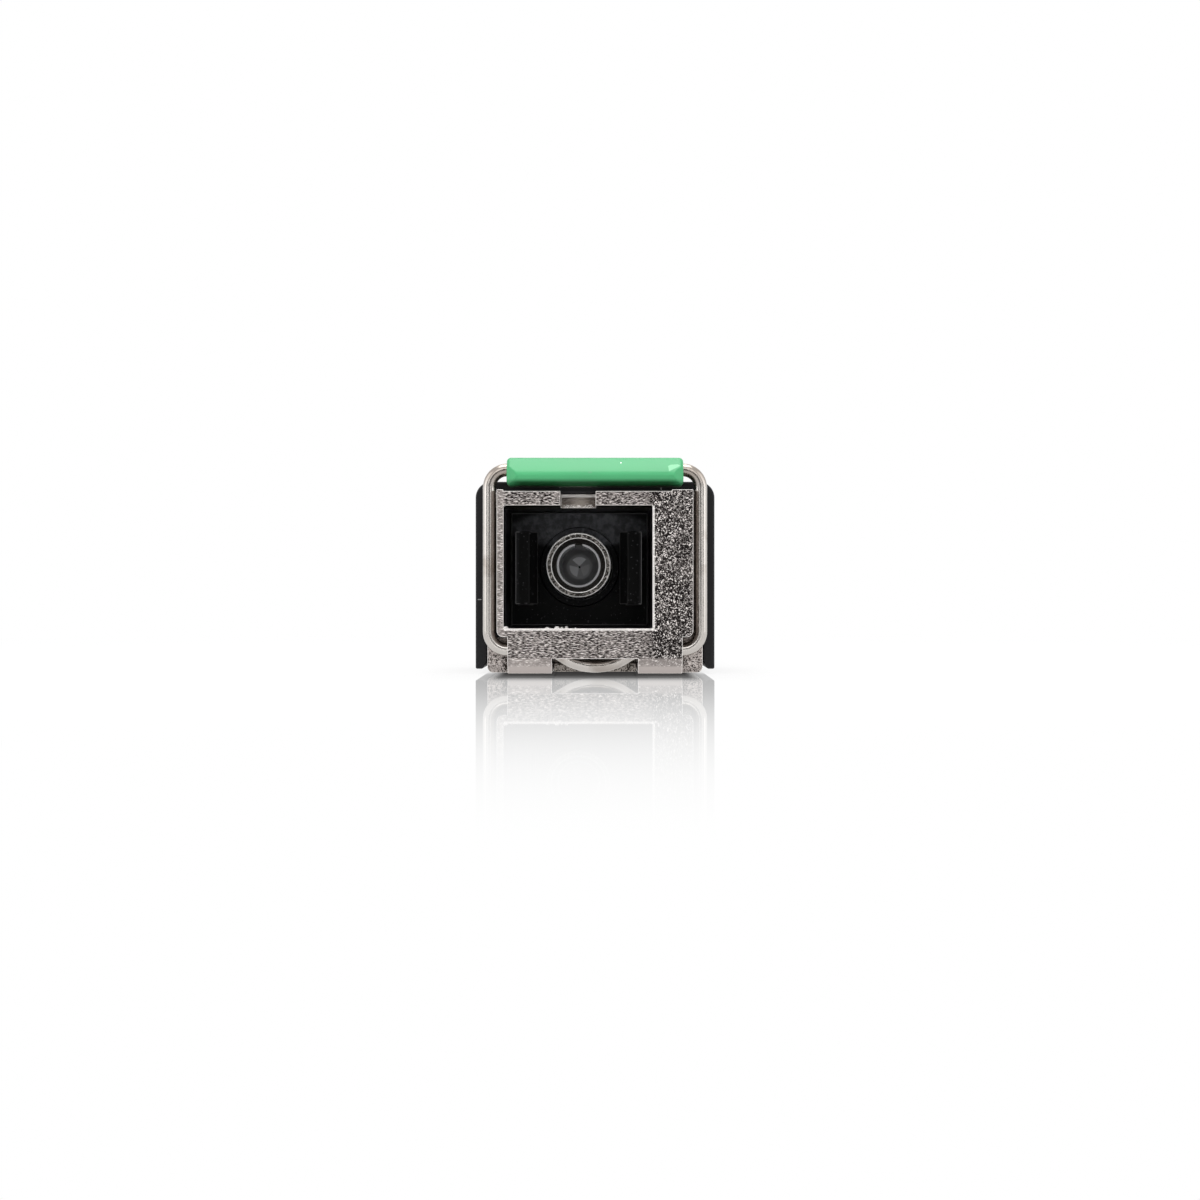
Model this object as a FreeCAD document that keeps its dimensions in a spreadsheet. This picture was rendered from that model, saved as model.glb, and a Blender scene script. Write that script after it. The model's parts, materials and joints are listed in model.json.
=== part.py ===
import FreeCAD, Part
import math
import os
from types import SimpleNamespace

import Sketcher

# A pluggable optical network unit: a die-cast housing with a square-body fibre socket, a wire bail latch
# that drives a release slider, and the optics and board inside.
# X is across the module, Y runs from the socket to the edge contacts, Z is up. Lengths are millimetres.
# Every body is drawn with y = 0 at the front face, and its placement moves it to the module's middle.

DIMENSIONS = {
    "fit_gap": 0.085,
    "slide_gap": 0.1,
    # Lengths along the module, from the front face, the cage stop and the latch shoulder
    "head_length": 20.0,
    "stop_to_latch": 2.5,
    "latch_to_rear": 45.0,
    "latch_to_board_end": 41.8,
    "latch_to_opening": 34.6,
    # Fibre socket in the front frame
    "socket_width": 9.15,
    "socket_height": 7.56,
    "socket_offset": 1.04,
    "socket_floor": 2.77,
    "axis_rise": 0.15,
    "roof_thickness": 0.87,
    "corner_rise": 0.1,
    "corner_left": 0.39,
    "corner_right": 1.3,
    "side_bar": 0.415,
    "key_width": 2.18,
    "key_depth": 3.5,
    "key_wall": 0.8,
    "head_wall": 0.5,
    "foot_radius": 0.35,
    "rear_wall": 0.8,
    "lip_break": 0.95,
    "lip_edge": 0.42,
    "lip_lean": 0.16,
    "lip_undercut": 0.5,
    # Rear body
    "body_width": 13.4,
    "body_height": 8.5,
    "body_lift": 0.5,
    "body_chamfer": 1.1,
    "tray_wall": 0.7,
    "tray_floor": 1.0,
    "ledge_width": 0.8,
    "boss_width": 2.6,
    "boss_length": 2.6,
    "boss_height": 0.45,
    "boss_tip": 0.6,
    # Bail
    "wire_diameter": 0.8,
    "bail_setback": 1.2,
    "bail_headroom": 1.38,
    "bend_radius": 1.1,
    "leg_gap": 0.12,
    "swing_gap": 0.2,
    "block_gap": 0.08,
    "pivot_height": 1.45,
    "pivot_gap": 0.05,
    "pivot_mouth": 0.7,
    "bow_drop": 1.03,
    "bow_radius": 3.6,
    "bow_bend": 1.6,
    "bow_spare": 0.2,
    "wire_end_gap": 0.2,
    "notch_height": 0.91,
    "plate_thickness": 0.7,
    "plate_radius": 0.4,
    "plate_notch": 2.25,
    "grip_width": 10.9,
    "grip_height": 1.79,
    "grip_depth": 2.4,
    "grip_drop": 0.15,
    "grip_nose": 0.4,
    "grip_lower": 0.43,
    "grip_top": 0.6,
    "grip_bottom": 1.3,
    "grip_break": 0.15,
    "grip_end_width": 0.6,
    "grip_end_depth": 0.45,
    # Release slider and its spring
    "slider_width": 5.1,
    "slider_base": 0.05,
    "slider_height": 1.05,
    "slider_front": 1.95,
    "slider_stroke": 0.9,
    "web_height": 0.53,
    "web_depth": 1.25,
    "arch_width": 1.4,
    "arch_rise": 0.14,
    "tab_setback": 0.15,
    "tab_depth": 1.3,
    "tab_top": 1.6,
    "ear_width": 0.5,
    "ear_length": 2.4,
    "ear_thickness": 0.45,
    "tine_length": 1.5,
    "tine_gap": 2.6,
    "tine_height": 0.4,
    "spring_front": 8.0,
    "spring_length": 3.0,
    "spring_diameter": 0.95,
    "spring_wire": 0.16,
    "spring_turns": 4.0,
    "spring_end_gap": 0.04,
    "lug_length": 0.6,
    "lug_width": 1.0,
    "lug_lift": 0.1,
    # Head cover
    "cover_wall": 0.7,
    "cover_gap": 0.1,
    "cover_setback": 2.7,
    "cover_rear_gap": 0.4,
    "cover_radius": 1.0,
    "cover_inner_radius": 0.2,
    "cover_foot": 0.2,
    "cover_chamfer": 0.45,
    "catch_start": 10.0,
    "catch_length": 2.4,
    "catch_base": 4.5,
    "catch_height": 1.8,
    "catch_depth": 0.6,
    "catch_step": 0.2,
    # Lid and shielding collar
    "lid_thickness": 0.3,
    "lid_flange": 3.2,
    "lid_radius": 0.5,
    "lid_inner_radius": 0.2,
    "lid_catch_depth": 0.25,
    "lid_catch_length": 1.6,
    "lid_catch_height": 0.8,
    "lid_catch_drop": 2.3,
    "lid_catch_first": 8.0,
    "lid_catch_pitch": 28.0,
    "collar_thickness": 0.15,
    "collar_start": 0.4,
    "collar_band": 1.6,
    "collar_skirt": 3.5,
    "finger_length": 4.4,
    "finger_width": 1.5,
    "finger_rise": 0.4,
    "finger_pitch": 2.4,
    # Socket lining and latch arms
    "shroud_wall": 0.5,
    "shroud_length": 8.2,
    "shroud_back": 0.8,
    "hook_plate": 0.6,
    "hook_length": 5.2,
    "hook_inner": 2.6,
    "hook_thickness": 0.9,
    "hook_barb": 0.5,
    "hook_barb_length": 1.1,
    "hook_height": 4.6,
    # Optics on the socket axis
    "holder_diameter": 4.1,
    "holder_setback": 2.8,
    "holder_bevel": 3.4,
    "holder_mouth": 2.75,
    "holder_lead": 0.7,
    "holder_edge": 0.06,
    "flange_diameter": 6.0,
    "flange_thickness": 0.8,
    "neck_length": 0.8,
    "spigot_length": 0.8,
    "sleeve_outer": 3.2,
    "sleeve_gap": 0.03,
    "sleeve_slit": 0.47,
    "sleeve_end_gap": 0.1,
    "ferrule_diameter": 2.5,
    "ferrule_gap": 0.01,
    "weld_gap": 0.03,
    "ferrule_depth": 8.9,
    "stub_face": 1.46,
    "stub_collar": 3.0,
    "stub_chamfer": 0.5,
    "clip_thickness": 0.7,
    "block_width": 6.4,
    "block_length": 4.8,
    "block_chamfer": 0.3,
    "can_stem": 5.6,
    "can_stem_length": 1.2,
    "can_cap": 4.1,
    "can_cap_length": 2.1,
    "receiver_stem": 4.6,
    "receiver_stem_length": 1.0,
    "receiver_cap": 3.6,
    "receiver_cap_length": 1.0,
    "lead_width": 0.4,
    "lead_length": 0.5,
    "lead_circle": 2.0,
    "flex_thickness": 0.12,
    "flex_width": 4.6,
    "flex_bend": 0.8,
    "flex_tail": 2.0,
    "flex_foot": 1.8,
    # Board and what it carries
    "board_lift": 2.25,
    "board_thickness": 1.0,
    "board_gap": 0.15,
    "board_setback": 2.0,
    "paddle_width": 9.2,
    "paddle_length": 7.3,
    "contact_pitch": 0.8,
    "contact_width": 0.5,
    "contact_length": 2.8,
    "contact_thickness": 0.05,
    "contact_inset": 0.4,
    "processor_size": 10.0,
    "processor_height": 1.2,
    "processor_gap": 0.8,
    "pad_size": 9.0,
    "flash_length": 5.0,
    "flash_width": 6.0,
    "flash_height": 0.8,
    "flash_gap": 1.0,
    "driver_size": 4.0,
    "driver_height": 0.8,
    "driver_gap": 3.0,
    "converter_size": 3.0,
    "converter_height": 0.8,
    "converter_gap": 1.5,
    "oscillator_length": 2.5,
    "oscillator_width": 2.0,
    "oscillator_height": 0.7,
    "oscillator_gap": 0.2,
    "inductor_size": 2.0,
    "inductor_height": 1.2,
    "inductor_pitch": 3.4,
    "capacitor_length": 1.0,
    "capacitor_width": 0.5,
    "capacitor_pitch": 1.5,
    "capacitor_gap": 0.5,
    "chip_chamfer": 0.15,
}

CAPACITORS = 6
CONTACTS = 10
TOP_FINGERS = 4
SIDE_FINGERS = 2
LID_CATCHES = 2
TOUCH = 1e-6


class Size:
    """A length known both as a number and as a formula on the sheet, so that plain arithmetic keeps both."""

    def __init__(self, value, text):
        self.value = value
        self.text = text

    def _join(self, other, sign, value, swap=False):
        """Return the formula of self and other joined by sign, with its worked-out value."""
        pair = (other.text, self.text) if swap else (self.text, other.text)
        return Size(value, "(%s %s %s)" % (pair[0], sign, pair[1]))

    def __add__(self, other):
        other = as_size(other)
        return self._join(other, "+", self.value + other.value)

    def __sub__(self, other):
        other = as_size(other)
        return self._join(other, "-", self.value - other.value)

    def __rsub__(self, other):
        other = as_size(other)
        return self._join(other, "-", other.value - self.value, swap=True)

    def __mul__(self, other):
        other = as_size(other)
        return self._join(other, "*", self.value * other.value)

    def __truediv__(self, other):
        other = as_size(other)
        return self._join(other, "/", self.value / other.value)

    def __neg__(self):
        return Size(-self.value, "(-%s)" % self.text)

    __radd__ = __add__
    __rmul__ = __mul__


def as_size(number):
    """Return a plain number as a Size, and a Size as it is."""
    if isinstance(number, Size):
        return number
    return Size(float(number), repr(float(number)))


def root(size):
    """Return the square root of a Size."""
    return Size(math.sqrt(size.value), "sqrt(%s)" % size.text)


doc = FreeCAD.newDocument("OnuModule")
sheet = doc.addObject("Spreadsheet::Sheet", "Sizes")
for row, (alias, number) in enumerate(DIMENSIONS.items(), start=1):
    sheet.set("A%d" % row, alias)
    sheet.set("B%d" % row, str(number))
    sheet.setAlias("B%d" % row, alias)
doc.recompute()
d = SimpleNamespace(**{alias: Size(number, "Sizes." + alias) for alias, number in DIMENSIONS.items()})

# Places worked out from the driving dimensions

length = d.head_length + d.stop_to_latch + d.latch_to_rear
wire_radius = d.wire_diameter / 2
axis_x = -d.socket_offset
socket_left = axis_x - d.socket_width / 2
socket_right = axis_x + d.socket_width / 2
socket_top = d.socket_floor + d.socket_height
socket_middle = d.socket_floor + d.socket_height / 2
axis_z = socket_middle + d.axis_rise
face_half = d.side_bar - socket_left
leg_x = face_half + d.leg_gap + wire_radius
bend_x = leg_x - d.bend_radius
block_half = bend_x - d.block_gap
frame_depth = d.bail_setback + wire_radius + d.swing_gap
roof_depth = d.key_depth + d.key_wall
head_top = socket_top + d.roof_thickness
shroud_left = socket_left - d.shroud_wall
shroud_right = socket_right + d.shroud_wall
shroud_bottom = d.socket_floor - d.shroud_wall
shroud_end = frame_depth + d.shroud_length
trough_half = d.fit_gap - shroud_left
trough_right = shroud_right + d.fit_gap
trough_floor = shroud_bottom - d.fit_gap
trough_end = d.head_length - d.rear_wall
head_half = trough_half + d.head_wall
latch_y = d.head_length + d.stop_to_latch
body_half = d.body_width / 2
body_top = d.body_lift + d.body_height
tray_half = body_half - d.tray_wall
tray_bottom = d.body_lift + d.tray_floor
lid_step = body_top - d.lid_flange
lid_under = body_top - d.lid_thickness
tray_step_half = body_half - d.lid_thickness - d.cover_gap / 2
opening_y = latch_y + d.latch_to_opening
board_bottom = d.body_lift + d.board_lift
board_top = board_bottom + d.board_thickness
board_start = d.head_length + d.board_setback
board_end = latch_y + d.latch_to_board_end
driver_start = board_start + d.flex_tail + d.driver_gap
oscillator_start = driver_start + d.driver_size + d.oscillator_gap
processor_start = oscillator_start + d.oscillator_length + d.processor_gap
capacitor_start = processor_start + d.processor_size + d.capacitor_gap
flash_start = capacitor_start + d.capacitor_length + d.flash_gap
converter_start = flash_start + d.flash_length + d.converter_gap
top_run = head_top + d.bail_headroom
slider_half = d.slider_width / 2
slot_half = slider_half + d.slide_gap
slider_top = d.slider_base + d.slider_height
slot_top = slider_top + d.slide_gap
web_end = d.slider_front + d.web_depth
ear_half = slider_half + d.ear_width
ear_start = web_end + d.slide_gap
ear_end = ear_start + d.ear_length
slider_end = d.head_length - d.tine_length
bow_rise = d.bow_radius - d.bow_drop
bow_reach = d.bow_radius + d.bow_bend
bow_start_x = root(bow_reach * bow_reach - (bow_rise + d.bow_bend) * (bow_rise + d.bow_bend))
pocket_half = bow_start_x + d.swing_gap
pocket_top = d.pivot_height + wire_radius + d.swing_gap
pocket_end = d.bail_setback + d.bow_drop + wire_radius + d.swing_gap + d.bow_spare
catch_end = d.catch_start + d.catch_length
catch_top = d.catch_base + d.catch_height

# Each drawing plane, and whether its normal points along or against the axis
PLANES = {"XY": ("XY_Plane", 1), "XZ": ("XZ_Plane", -1), "YZ": ("YZ_Plane", 1)}


def new_body(label, x=0, y=0, z=0):
    """Add a body whose y = 0 is the front face, moved to the module's middle and to its own axis."""
    body = doc.addObject("PartDesign::Body", label)
    body.Label = label
    body.setExpression("Placement.Base.x", as_size(x).text)
    body.setExpression("Placement.Base.y", (as_size(y) - length / 2).text)
    body.setExpression("Placement.Base.z", as_size(z).text)
    return body


def arc_between(start, end, radius):
    """Return a circle's arc from start to end, its centre to the left for a positive radius."""
    chord = end - start
    middle = (start + end) / 2
    left = FreeCAD.Vector(-chord.y, chord.x, 0).normalize()
    if radius < 0:
        left = -left
    reach = math.sqrt(max(radius * radius - chord.Length ** 2 / 4, 0))
    centre = middle + left * reach
    first, last = (start, end) if radius > 0 else (end, start)
    begin = math.atan2(first.y - centre.y, first.x - centre.x)
    finish = math.atan2(last.y - centre.y, last.x - centre.x)
    circle = Part.Circle(centre, FreeCAD.Vector(0, 0, 1), abs(radius))
    return Part.ArcOfCircle(circle, begin, finish)


def bind_point(sketch, edge, place, u, v):
    """Tie one end or centre of an edge to its formulas, measured from the sketch's origin."""
    for kind, size in (("DistanceX", u), ("DistanceY", v)):
        index = sketch.addConstraint(Sketcher.Constraint(kind, -1, 1, edge, place, size.value))
        sketch.setExpression("Constraints[%d]" % index, size.text)


def bind_radius(sketch, edge, radius):
    """Tie an arc's or circle's radius to its formula."""
    index = sketch.addConstraint(Sketcher.Constraint("Radius", edge, radius.value))
    sketch.setExpression("Constraints[%d]" % index, radius.text)


def draw_outline(sketch, corners, closed=True):
    """Draw corners (u, v), joined by lines, or by arcs where a corner has a signed radius as third value."""
    points = [tuple(as_size(part) for part in corner) for corner in corners]
    places = [FreeCAD.Vector(point[0].value, point[1].value, 0) for point in points]
    count = len(points) if closed else len(points) - 1
    edges = []
    for index in range(count):
        start = places[index]
        end = places[(index + 1) % len(points)]
        if len(points[index]) == 3:
            radius = points[index][2]
            edge = sketch.addGeometry(arc_between(start, end, radius.value))
            ends = (1, 2) if radius.value > 0 else (2, 1)
        else:
            radius = None
            edge = sketch.addGeometry(Part.LineSegment(start, end))
            ends = (1, 2)
        edges.append((edge, ends, radius))
    for index in range(count if closed else count - 1):
        edge, ends, _ = edges[index]
        following, following_ends, _ = edges[(index + 1) % count]
        joint = Sketcher.Constraint("Coincident", edge, ends[1], following, following_ends[0])
        sketch.addConstraint(joint)
    for index, (edge, ends, radius) in enumerate(edges):
        bind_point(sketch, edge, ends[0], points[index][0], points[index][1])
        if radius is not None:
            bind_radius(sketch, edge, radius if radius.value > 0 else -radius)
    if not closed:
        edge, ends, _ = edges[-1]
        bind_point(sketch, edge, ends[1], points[-1][0], points[-1][1])


def draw_circle(sketch, u, v, radius):
    """Draw a circle tied to its centre and radius."""
    u, v, radius = as_size(u), as_size(v), as_size(radius)
    centre = FreeCAD.Vector(u.value, v.value, 0)
    edge = sketch.addGeometry(Part.Circle(centre, FreeCAD.Vector(0, 0, 1), radius.value))
    bind_point(sketch, edge, 3, u, v)
    bind_radius(sketch, edge, radius)


def new_sketch(body, name, plane, start):
    """Add a sketch on one of the body's own planes, moved along the plane's axis to start."""
    role, sense = PLANES[plane]
    sketch = body.newObject("Sketcher::SketchObject", name + "_sketch")
    support = [feature for feature in body.Origin.OriginFeatures if feature.Role == role][0]
    sketch.AttachmentSupport = [(support, "")]
    sketch.MapMode = "FlatFace"
    offset = as_size(start) if sense > 0 else -as_size(start)
    sketch.setExpression("AttachmentOffset.Base.z", offset.text)
    return sketch


def draw_shapes(sketch, shapes):
    """Draw each shape: a list of corners is an outline, a tuple (u, v, radius) is a circle."""
    for shape in shapes:
        if isinstance(shape, tuple):
            draw_circle(sketch, *shape)
        else:
            draw_outline(sketch, shape)


def prism(body, name, plane, start, end, *shapes, cut=False):
    """Add or cut a prism of the shapes, from start to end along the plane's axis."""
    sketch = new_sketch(body, name, plane, start)
    draw_shapes(sketch, shapes)
    before = 0.0
    if cut:
        doc.recompute()
        before = body.Shape.Volume
    feature = body.newObject("PartDesign::Pocket" if cut else "PartDesign::Pad", name)
    feature.Profile = sketch
    feature.setExpression("Length", (as_size(end) - as_size(start)).text)
    along_normal = PLANES[plane][1] > 0
    feature.Reversed = along_normal if cut else not along_normal
    if cut:
        doc.recompute()
        if body.Shape.Volume >= before:
            raise RuntimeError("the cut %s in %s takes nothing away" % (name, body.Label))
    return feature


def carve(body, name, plane, start, end, *shapes):
    """Cut a prism of the shapes out of the body."""
    return prism(body, name, plane, start, end, *shapes, cut=True)


def turn(body, name, corners, plane="YZ"):
    """Turn an outline of (distance along the axis, radius) about the body's own axis."""
    sketch = new_sketch(body, name, plane, 0)
    draw_outline(sketch, corners)
    feature = body.newObject("PartDesign::Revolution", name)
    feature.Profile = sketch
    feature.ReferenceAxis = (sketch, ["H_Axis"])
    feature.Angle = 360
    return feature


def rectangle(left, right, bottom, top):
    """Return the corners of a rectangle."""
    return [(left, bottom), (right, bottom), (right, top), (left, top)]


def edge_names(shape, wanted):
    """Return the names of the edges whose end points both satisfy wanted."""
    names = []
    for index, edge in enumerate(shape.Edges, start=1):
        if all(wanted(vertex.Point) for vertex in edge.Vertexes):
            names.append("Edge%d" % index)
    return names


def soften(body, name, size, wanted):
    """Chamfer the body's edges whose ends satisfy wanted."""
    doc.recompute()
    base = body.Tip
    feature = body.newObject("PartDesign::Chamfer", name)
    feature.Base = (base, edge_names(base.Shape, wanted))
    feature.setExpression("Size", size.text)
    return feature


def add_head(body):
    """Add the head's outer form: the full-width block and the front frame that the bail stands round."""
    foot = d.foot_radius
    prism(
        body, "head_block", "XZ", frame_depth, d.head_length,
        [(foot - head_half, 0), (head_half - foot, 0, foot), (head_half, foot), (head_half, head_top),
         (-head_half, head_top), (-head_half, foot, foot)],
    )
    round_x = face_half - d.plate_radius
    round_z = d.plate_notch + d.plate_radius
    frame_top = head_top + d.corner_rise
    prism(
        body, "front_frame", "XZ", 0, frame_depth,
        [(-block_half, 0), (block_half, 0), (block_half, d.plate_notch),
         (round_x, d.plate_notch, d.plate_radius), (face_half, round_z),
         (face_half, frame_top), (-face_half, frame_top),
         (-face_half, round_z, d.plate_radius), (-round_x, d.plate_notch),
         (-block_half, d.plate_notch)],
    )
    carve(
        body, "top_relief", "XZ", 0, frame_depth,
        rectangle(d.corner_left - face_half, face_half - d.corner_right, head_top, frame_top + d.corner_rise),
    )
    carve(
        body, "lip_facets", "YZ", -face_half, face_half,
        [(-d.lip_lean, d.lip_break), (-d.lip_lean, -d.lip_edge), (d.lip_undercut + d.lip_lean, -d.lip_edge),
         (d.lip_undercut, 0), (d.lip_lean, d.lip_edge), (0, d.lip_break)],
    )


def add_tray(body):
    """Add the rear body that goes into the cage, stepped in for the lid's flanges, and its latch boss."""
    chamfer = d.body_chamfer
    wall_top = lid_under - d.cover_gap
    prism(
        body, "tray_block", "XZ", d.head_length, length,
        [(chamfer - body_half, d.body_lift), (body_half - chamfer, d.body_lift),
         (body_half, d.body_lift + chamfer), (body_half, lid_step),
         (tray_step_half, lid_step), (tray_step_half, wall_top),
         (-tray_step_half, wall_top), (-tray_step_half, lid_step),
         (-body_half, lid_step), (-body_half, d.body_lift + chamfer)],
    )
    half = d.boss_width / 2
    tip = d.boss_tip / 2
    prism(
        body, "latch_boss", "XY", d.body_lift - d.boss_height, d.body_lift,
        [(-half, latch_y), (half, latch_y), (tip, latch_y + d.boss_length), (-tip, latch_y + d.boss_length)],
    )


def hollow_head(body):
    """Cut the socket's mouth, its key slot and the trough that holds the optics."""
    carve(
        body, "socket_mouth", "XZ", 0, frame_depth,
        rectangle(socket_left, socket_right, d.socket_floor, socket_top),
    )
    key_half = d.key_width / 2
    key_bottom = socket_top - d.roof_thickness
    carve(
        body, "key_slot", "XZ", 0, d.key_depth,
        rectangle(axis_x - key_half, axis_x + key_half, key_bottom, head_top + d.corner_rise),
    )
    carve(
        body, "shroud_seat", "XZ", frame_depth, roof_depth,
        rectangle(-trough_half, trough_right, trough_floor, socket_top),
    )
    carve(
        body, "optics_trough", "XZ", roof_depth, trough_end,
        rectangle(-trough_half, trough_half, trough_floor, head_top + d.roof_thickness),
    )
    ledge_half = tray_half - d.ledge_width
    window_top = lid_under - d.cover_gap
    carve(
        body, "flex_window", "XZ", trough_end, d.head_length,
        rectangle(-ledge_half, ledge_half, trough_floor, window_top),
    )


def hollow_tray(body):
    """Cut the tray's inside down to its floor and board ledges, and the opening under the edge contacts."""
    ledge_half = tray_half - d.ledge_width
    carve(
        body, "tray_cavity", "XZ", d.head_length, length,
        [(-ledge_half, tray_bottom), (ledge_half, tray_bottom),
         (ledge_half, board_bottom), (tray_half, board_bottom),
         (tray_half, body_top), (-tray_half, body_top),
         (-tray_half, board_bottom), (-ledge_half, board_bottom)],
    )
    carve(
        body, "contact_opening", "XZ", opening_y, length, rectangle(-tray_half, tray_half, 0, board_bottom),
    )


def cut_latch_ways(body):
    """Cut the bow's pocket, the bail's snap-in pivots and the slider's way."""
    carve(
        body, "front_notch", "XZ", 0, d.plate_thickness,
        rectangle(-slot_half, slot_half, 0, d.notch_height),
    )
    carve(
        body, "bow_pocket", "XZ", d.plate_thickness, pocket_end,
        rectangle(-pocket_half, pocket_half, 0, pocket_top),
    )
    carve(
        body, "pivot_holes", "YZ", -block_half, block_half,
        (d.bail_setback, d.pivot_height, wire_radius + d.pivot_gap),
    )
    mouth = d.pivot_mouth / 2
    carve(
        body, "pivot_mouths", "YZ", -block_half, block_half,
        rectangle(d.bail_setback - mouth, d.bail_setback + mouth, 0, d.pivot_height),
    )
    way_end = slider_end + d.slider_stroke + d.slide_gap
    carve(body, "slider_way", "XZ", pocket_end, way_end, rectangle(-slot_half, slot_half, 0, slot_top))
    ear_way = ear_half + d.slide_gap
    carve(
        body, "ear_way", "XZ", pocket_end, ear_end + d.slider_stroke + d.slide_gap,
        rectangle(-ear_way, ear_way, slider_top - d.ear_thickness - d.slide_gap, slot_top),
    )
    tab_half = d.arch_width / 2 + d.slide_gap
    tab_end = d.slider_front + d.tab_setback + d.tab_depth + d.slider_stroke + d.slide_gap
    carve(
        body, "tab_way", "XZ", pocket_end, tab_end,
        rectangle(-tab_half, tab_half, 0, d.tab_top + d.slide_gap),
    )
    carve(
        body, "tine_way", "XZ", way_end, d.head_length,
        rectangle(-slot_half, slot_half, 0, d.slider_base + d.tine_height + d.slide_gap),
    )


def add_housing_details(body):
    """Add the spring's lug, the rests under the optics and the catches for the cover and the lid."""
    lug_start = d.spring_front + d.spring_length
    lug_half = d.lug_width / 2
    prism(
        body, "spring_lug", "XZ", lug_start, lug_start + d.lug_length,
        rectangle(-lug_half, lug_half, d.lug_lift, slot_top + d.slide_gap),
    )
    block_start = shroud_end + d.flange_thickness + d.neck_length
    rest_top = axis_z - d.block_width / 2
    half = d.block_width / 2
    prism(
        body, "optics_rest", "XZ", block_start + d.rear_wall, block_start + d.block_length - d.rear_wall,
        rectangle(axis_x - half, axis_x + half, trough_floor - d.fit_gap, rest_top),
    )
    for side, sign in (("left", -1), ("right", 1)):
        outer = head_half + d.catch_depth
        prism(
            body, "cover_catch_" + side, "XZ", d.catch_start, catch_end,
            [(sign * (head_half - d.head_wall / 2), d.catch_base), (sign * outer, d.catch_base),
             (sign * outer, catch_top - d.catch_depth), (sign * head_half, catch_top),
             (sign * (head_half - d.head_wall / 2), catch_top)],
        )
        for index in range(LID_CATCHES):
            start = d.head_length + d.lid_catch_first + d.lid_catch_pitch * index
            base = body_top - d.lid_catch_drop
            reach = tray_step_half + d.lid_catch_depth
            inner = tray_step_half - d.cover_gap
            prism(
                body, "lid_catch_%s_%d" % (side, index), "XZ", start, start + d.lid_catch_length,
                [(sign * inner, base), (sign * reach, base),
                 (sign * tray_step_half, base + d.lid_catch_height),
                 (sign * inner, base + d.lid_catch_height)],
            )


def make_lower_housing():
    """Make the die-cast housing: head, rear tray and latch boss in one piece."""
    body = new_body("lower_housing")
    add_head(body)
    add_tray(body)
    hollow_head(body)
    hollow_tray(body)
    cut_latch_ways(body)
    add_housing_details(body)
    return body


def make_head_cover():
    """Make the black cover that closes the head's top and sides."""
    body = new_body("head_cover")
    inner = head_half + d.cover_gap
    outer = inner + d.cover_wall
    under = head_top + d.cover_gap / 2
    top = under + d.cover_wall
    turn_out = d.cover_radius
    turn_in = d.cover_inner_radius
    foot = d.cover_foot
    cut = d.cover_chamfer
    prism(
        body, "cover_shell", "XZ", d.cover_setback, d.head_length - d.cover_rear_gap,
        [(outer, foot), (outer, top - turn_out, turn_out), (outer - turn_out, top),
         (turn_out - outer, top, turn_out), (-outer, top - turn_out), (-outer, foot),
         (cut - outer, foot), (-inner, foot + cut), (-inner, under - turn_in, -turn_in),
         (turn_in - inner, under), (inner - turn_in, under, -turn_in),
         (inner, under - turn_in), (inner, foot + cut), (outer - cut, foot)],
    )
    gap = d.cover_gap
    carve(
        body, "catch_windows", "YZ", -outer, outer,
        rectangle(d.catch_start - gap, catch_end + gap, d.catch_base - gap, catch_top + gap),
    )
    return body


def make_top_lid():
    """Make the folded sheet lid of the rear body, with windows that snap over the housing's catches."""
    body = new_body("top_lid")
    wall = d.lid_thickness
    turn_out = d.lid_radius
    turn_in = d.lid_inner_radius
    inner = body_half - wall
    bottom = lid_step + d.cover_gap
    prism(
        body, "lid_shell", "XZ", d.head_length + d.cover_gap, length,
        [(body_half, bottom), (body_half, body_top - turn_out, turn_out),
         (body_half - turn_out, body_top), (turn_out - body_half, body_top, turn_out),
         (-body_half, body_top - turn_out), (-body_half, bottom),
         (-inner, bottom), (-inner, lid_under - turn_in, -turn_in),
         (turn_in - inner, lid_under), (inner - turn_in, lid_under, -turn_in),
         (inner, lid_under - turn_in), (inner, bottom)],
    )
    gap = d.cover_gap
    base = body_top - d.lid_catch_drop
    first = d.head_length + d.lid_catch_first
    windows = []
    for index in range(LID_CATCHES):
        start = first + d.lid_catch_pitch * index
        end = start + d.lid_catch_length
        windows.append(rectangle(start - gap, end + gap, base - gap, base + d.lid_catch_height + gap))
    carve(body, "catch_windows", "YZ", -body_half, body_half, *windows)
    return body


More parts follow.
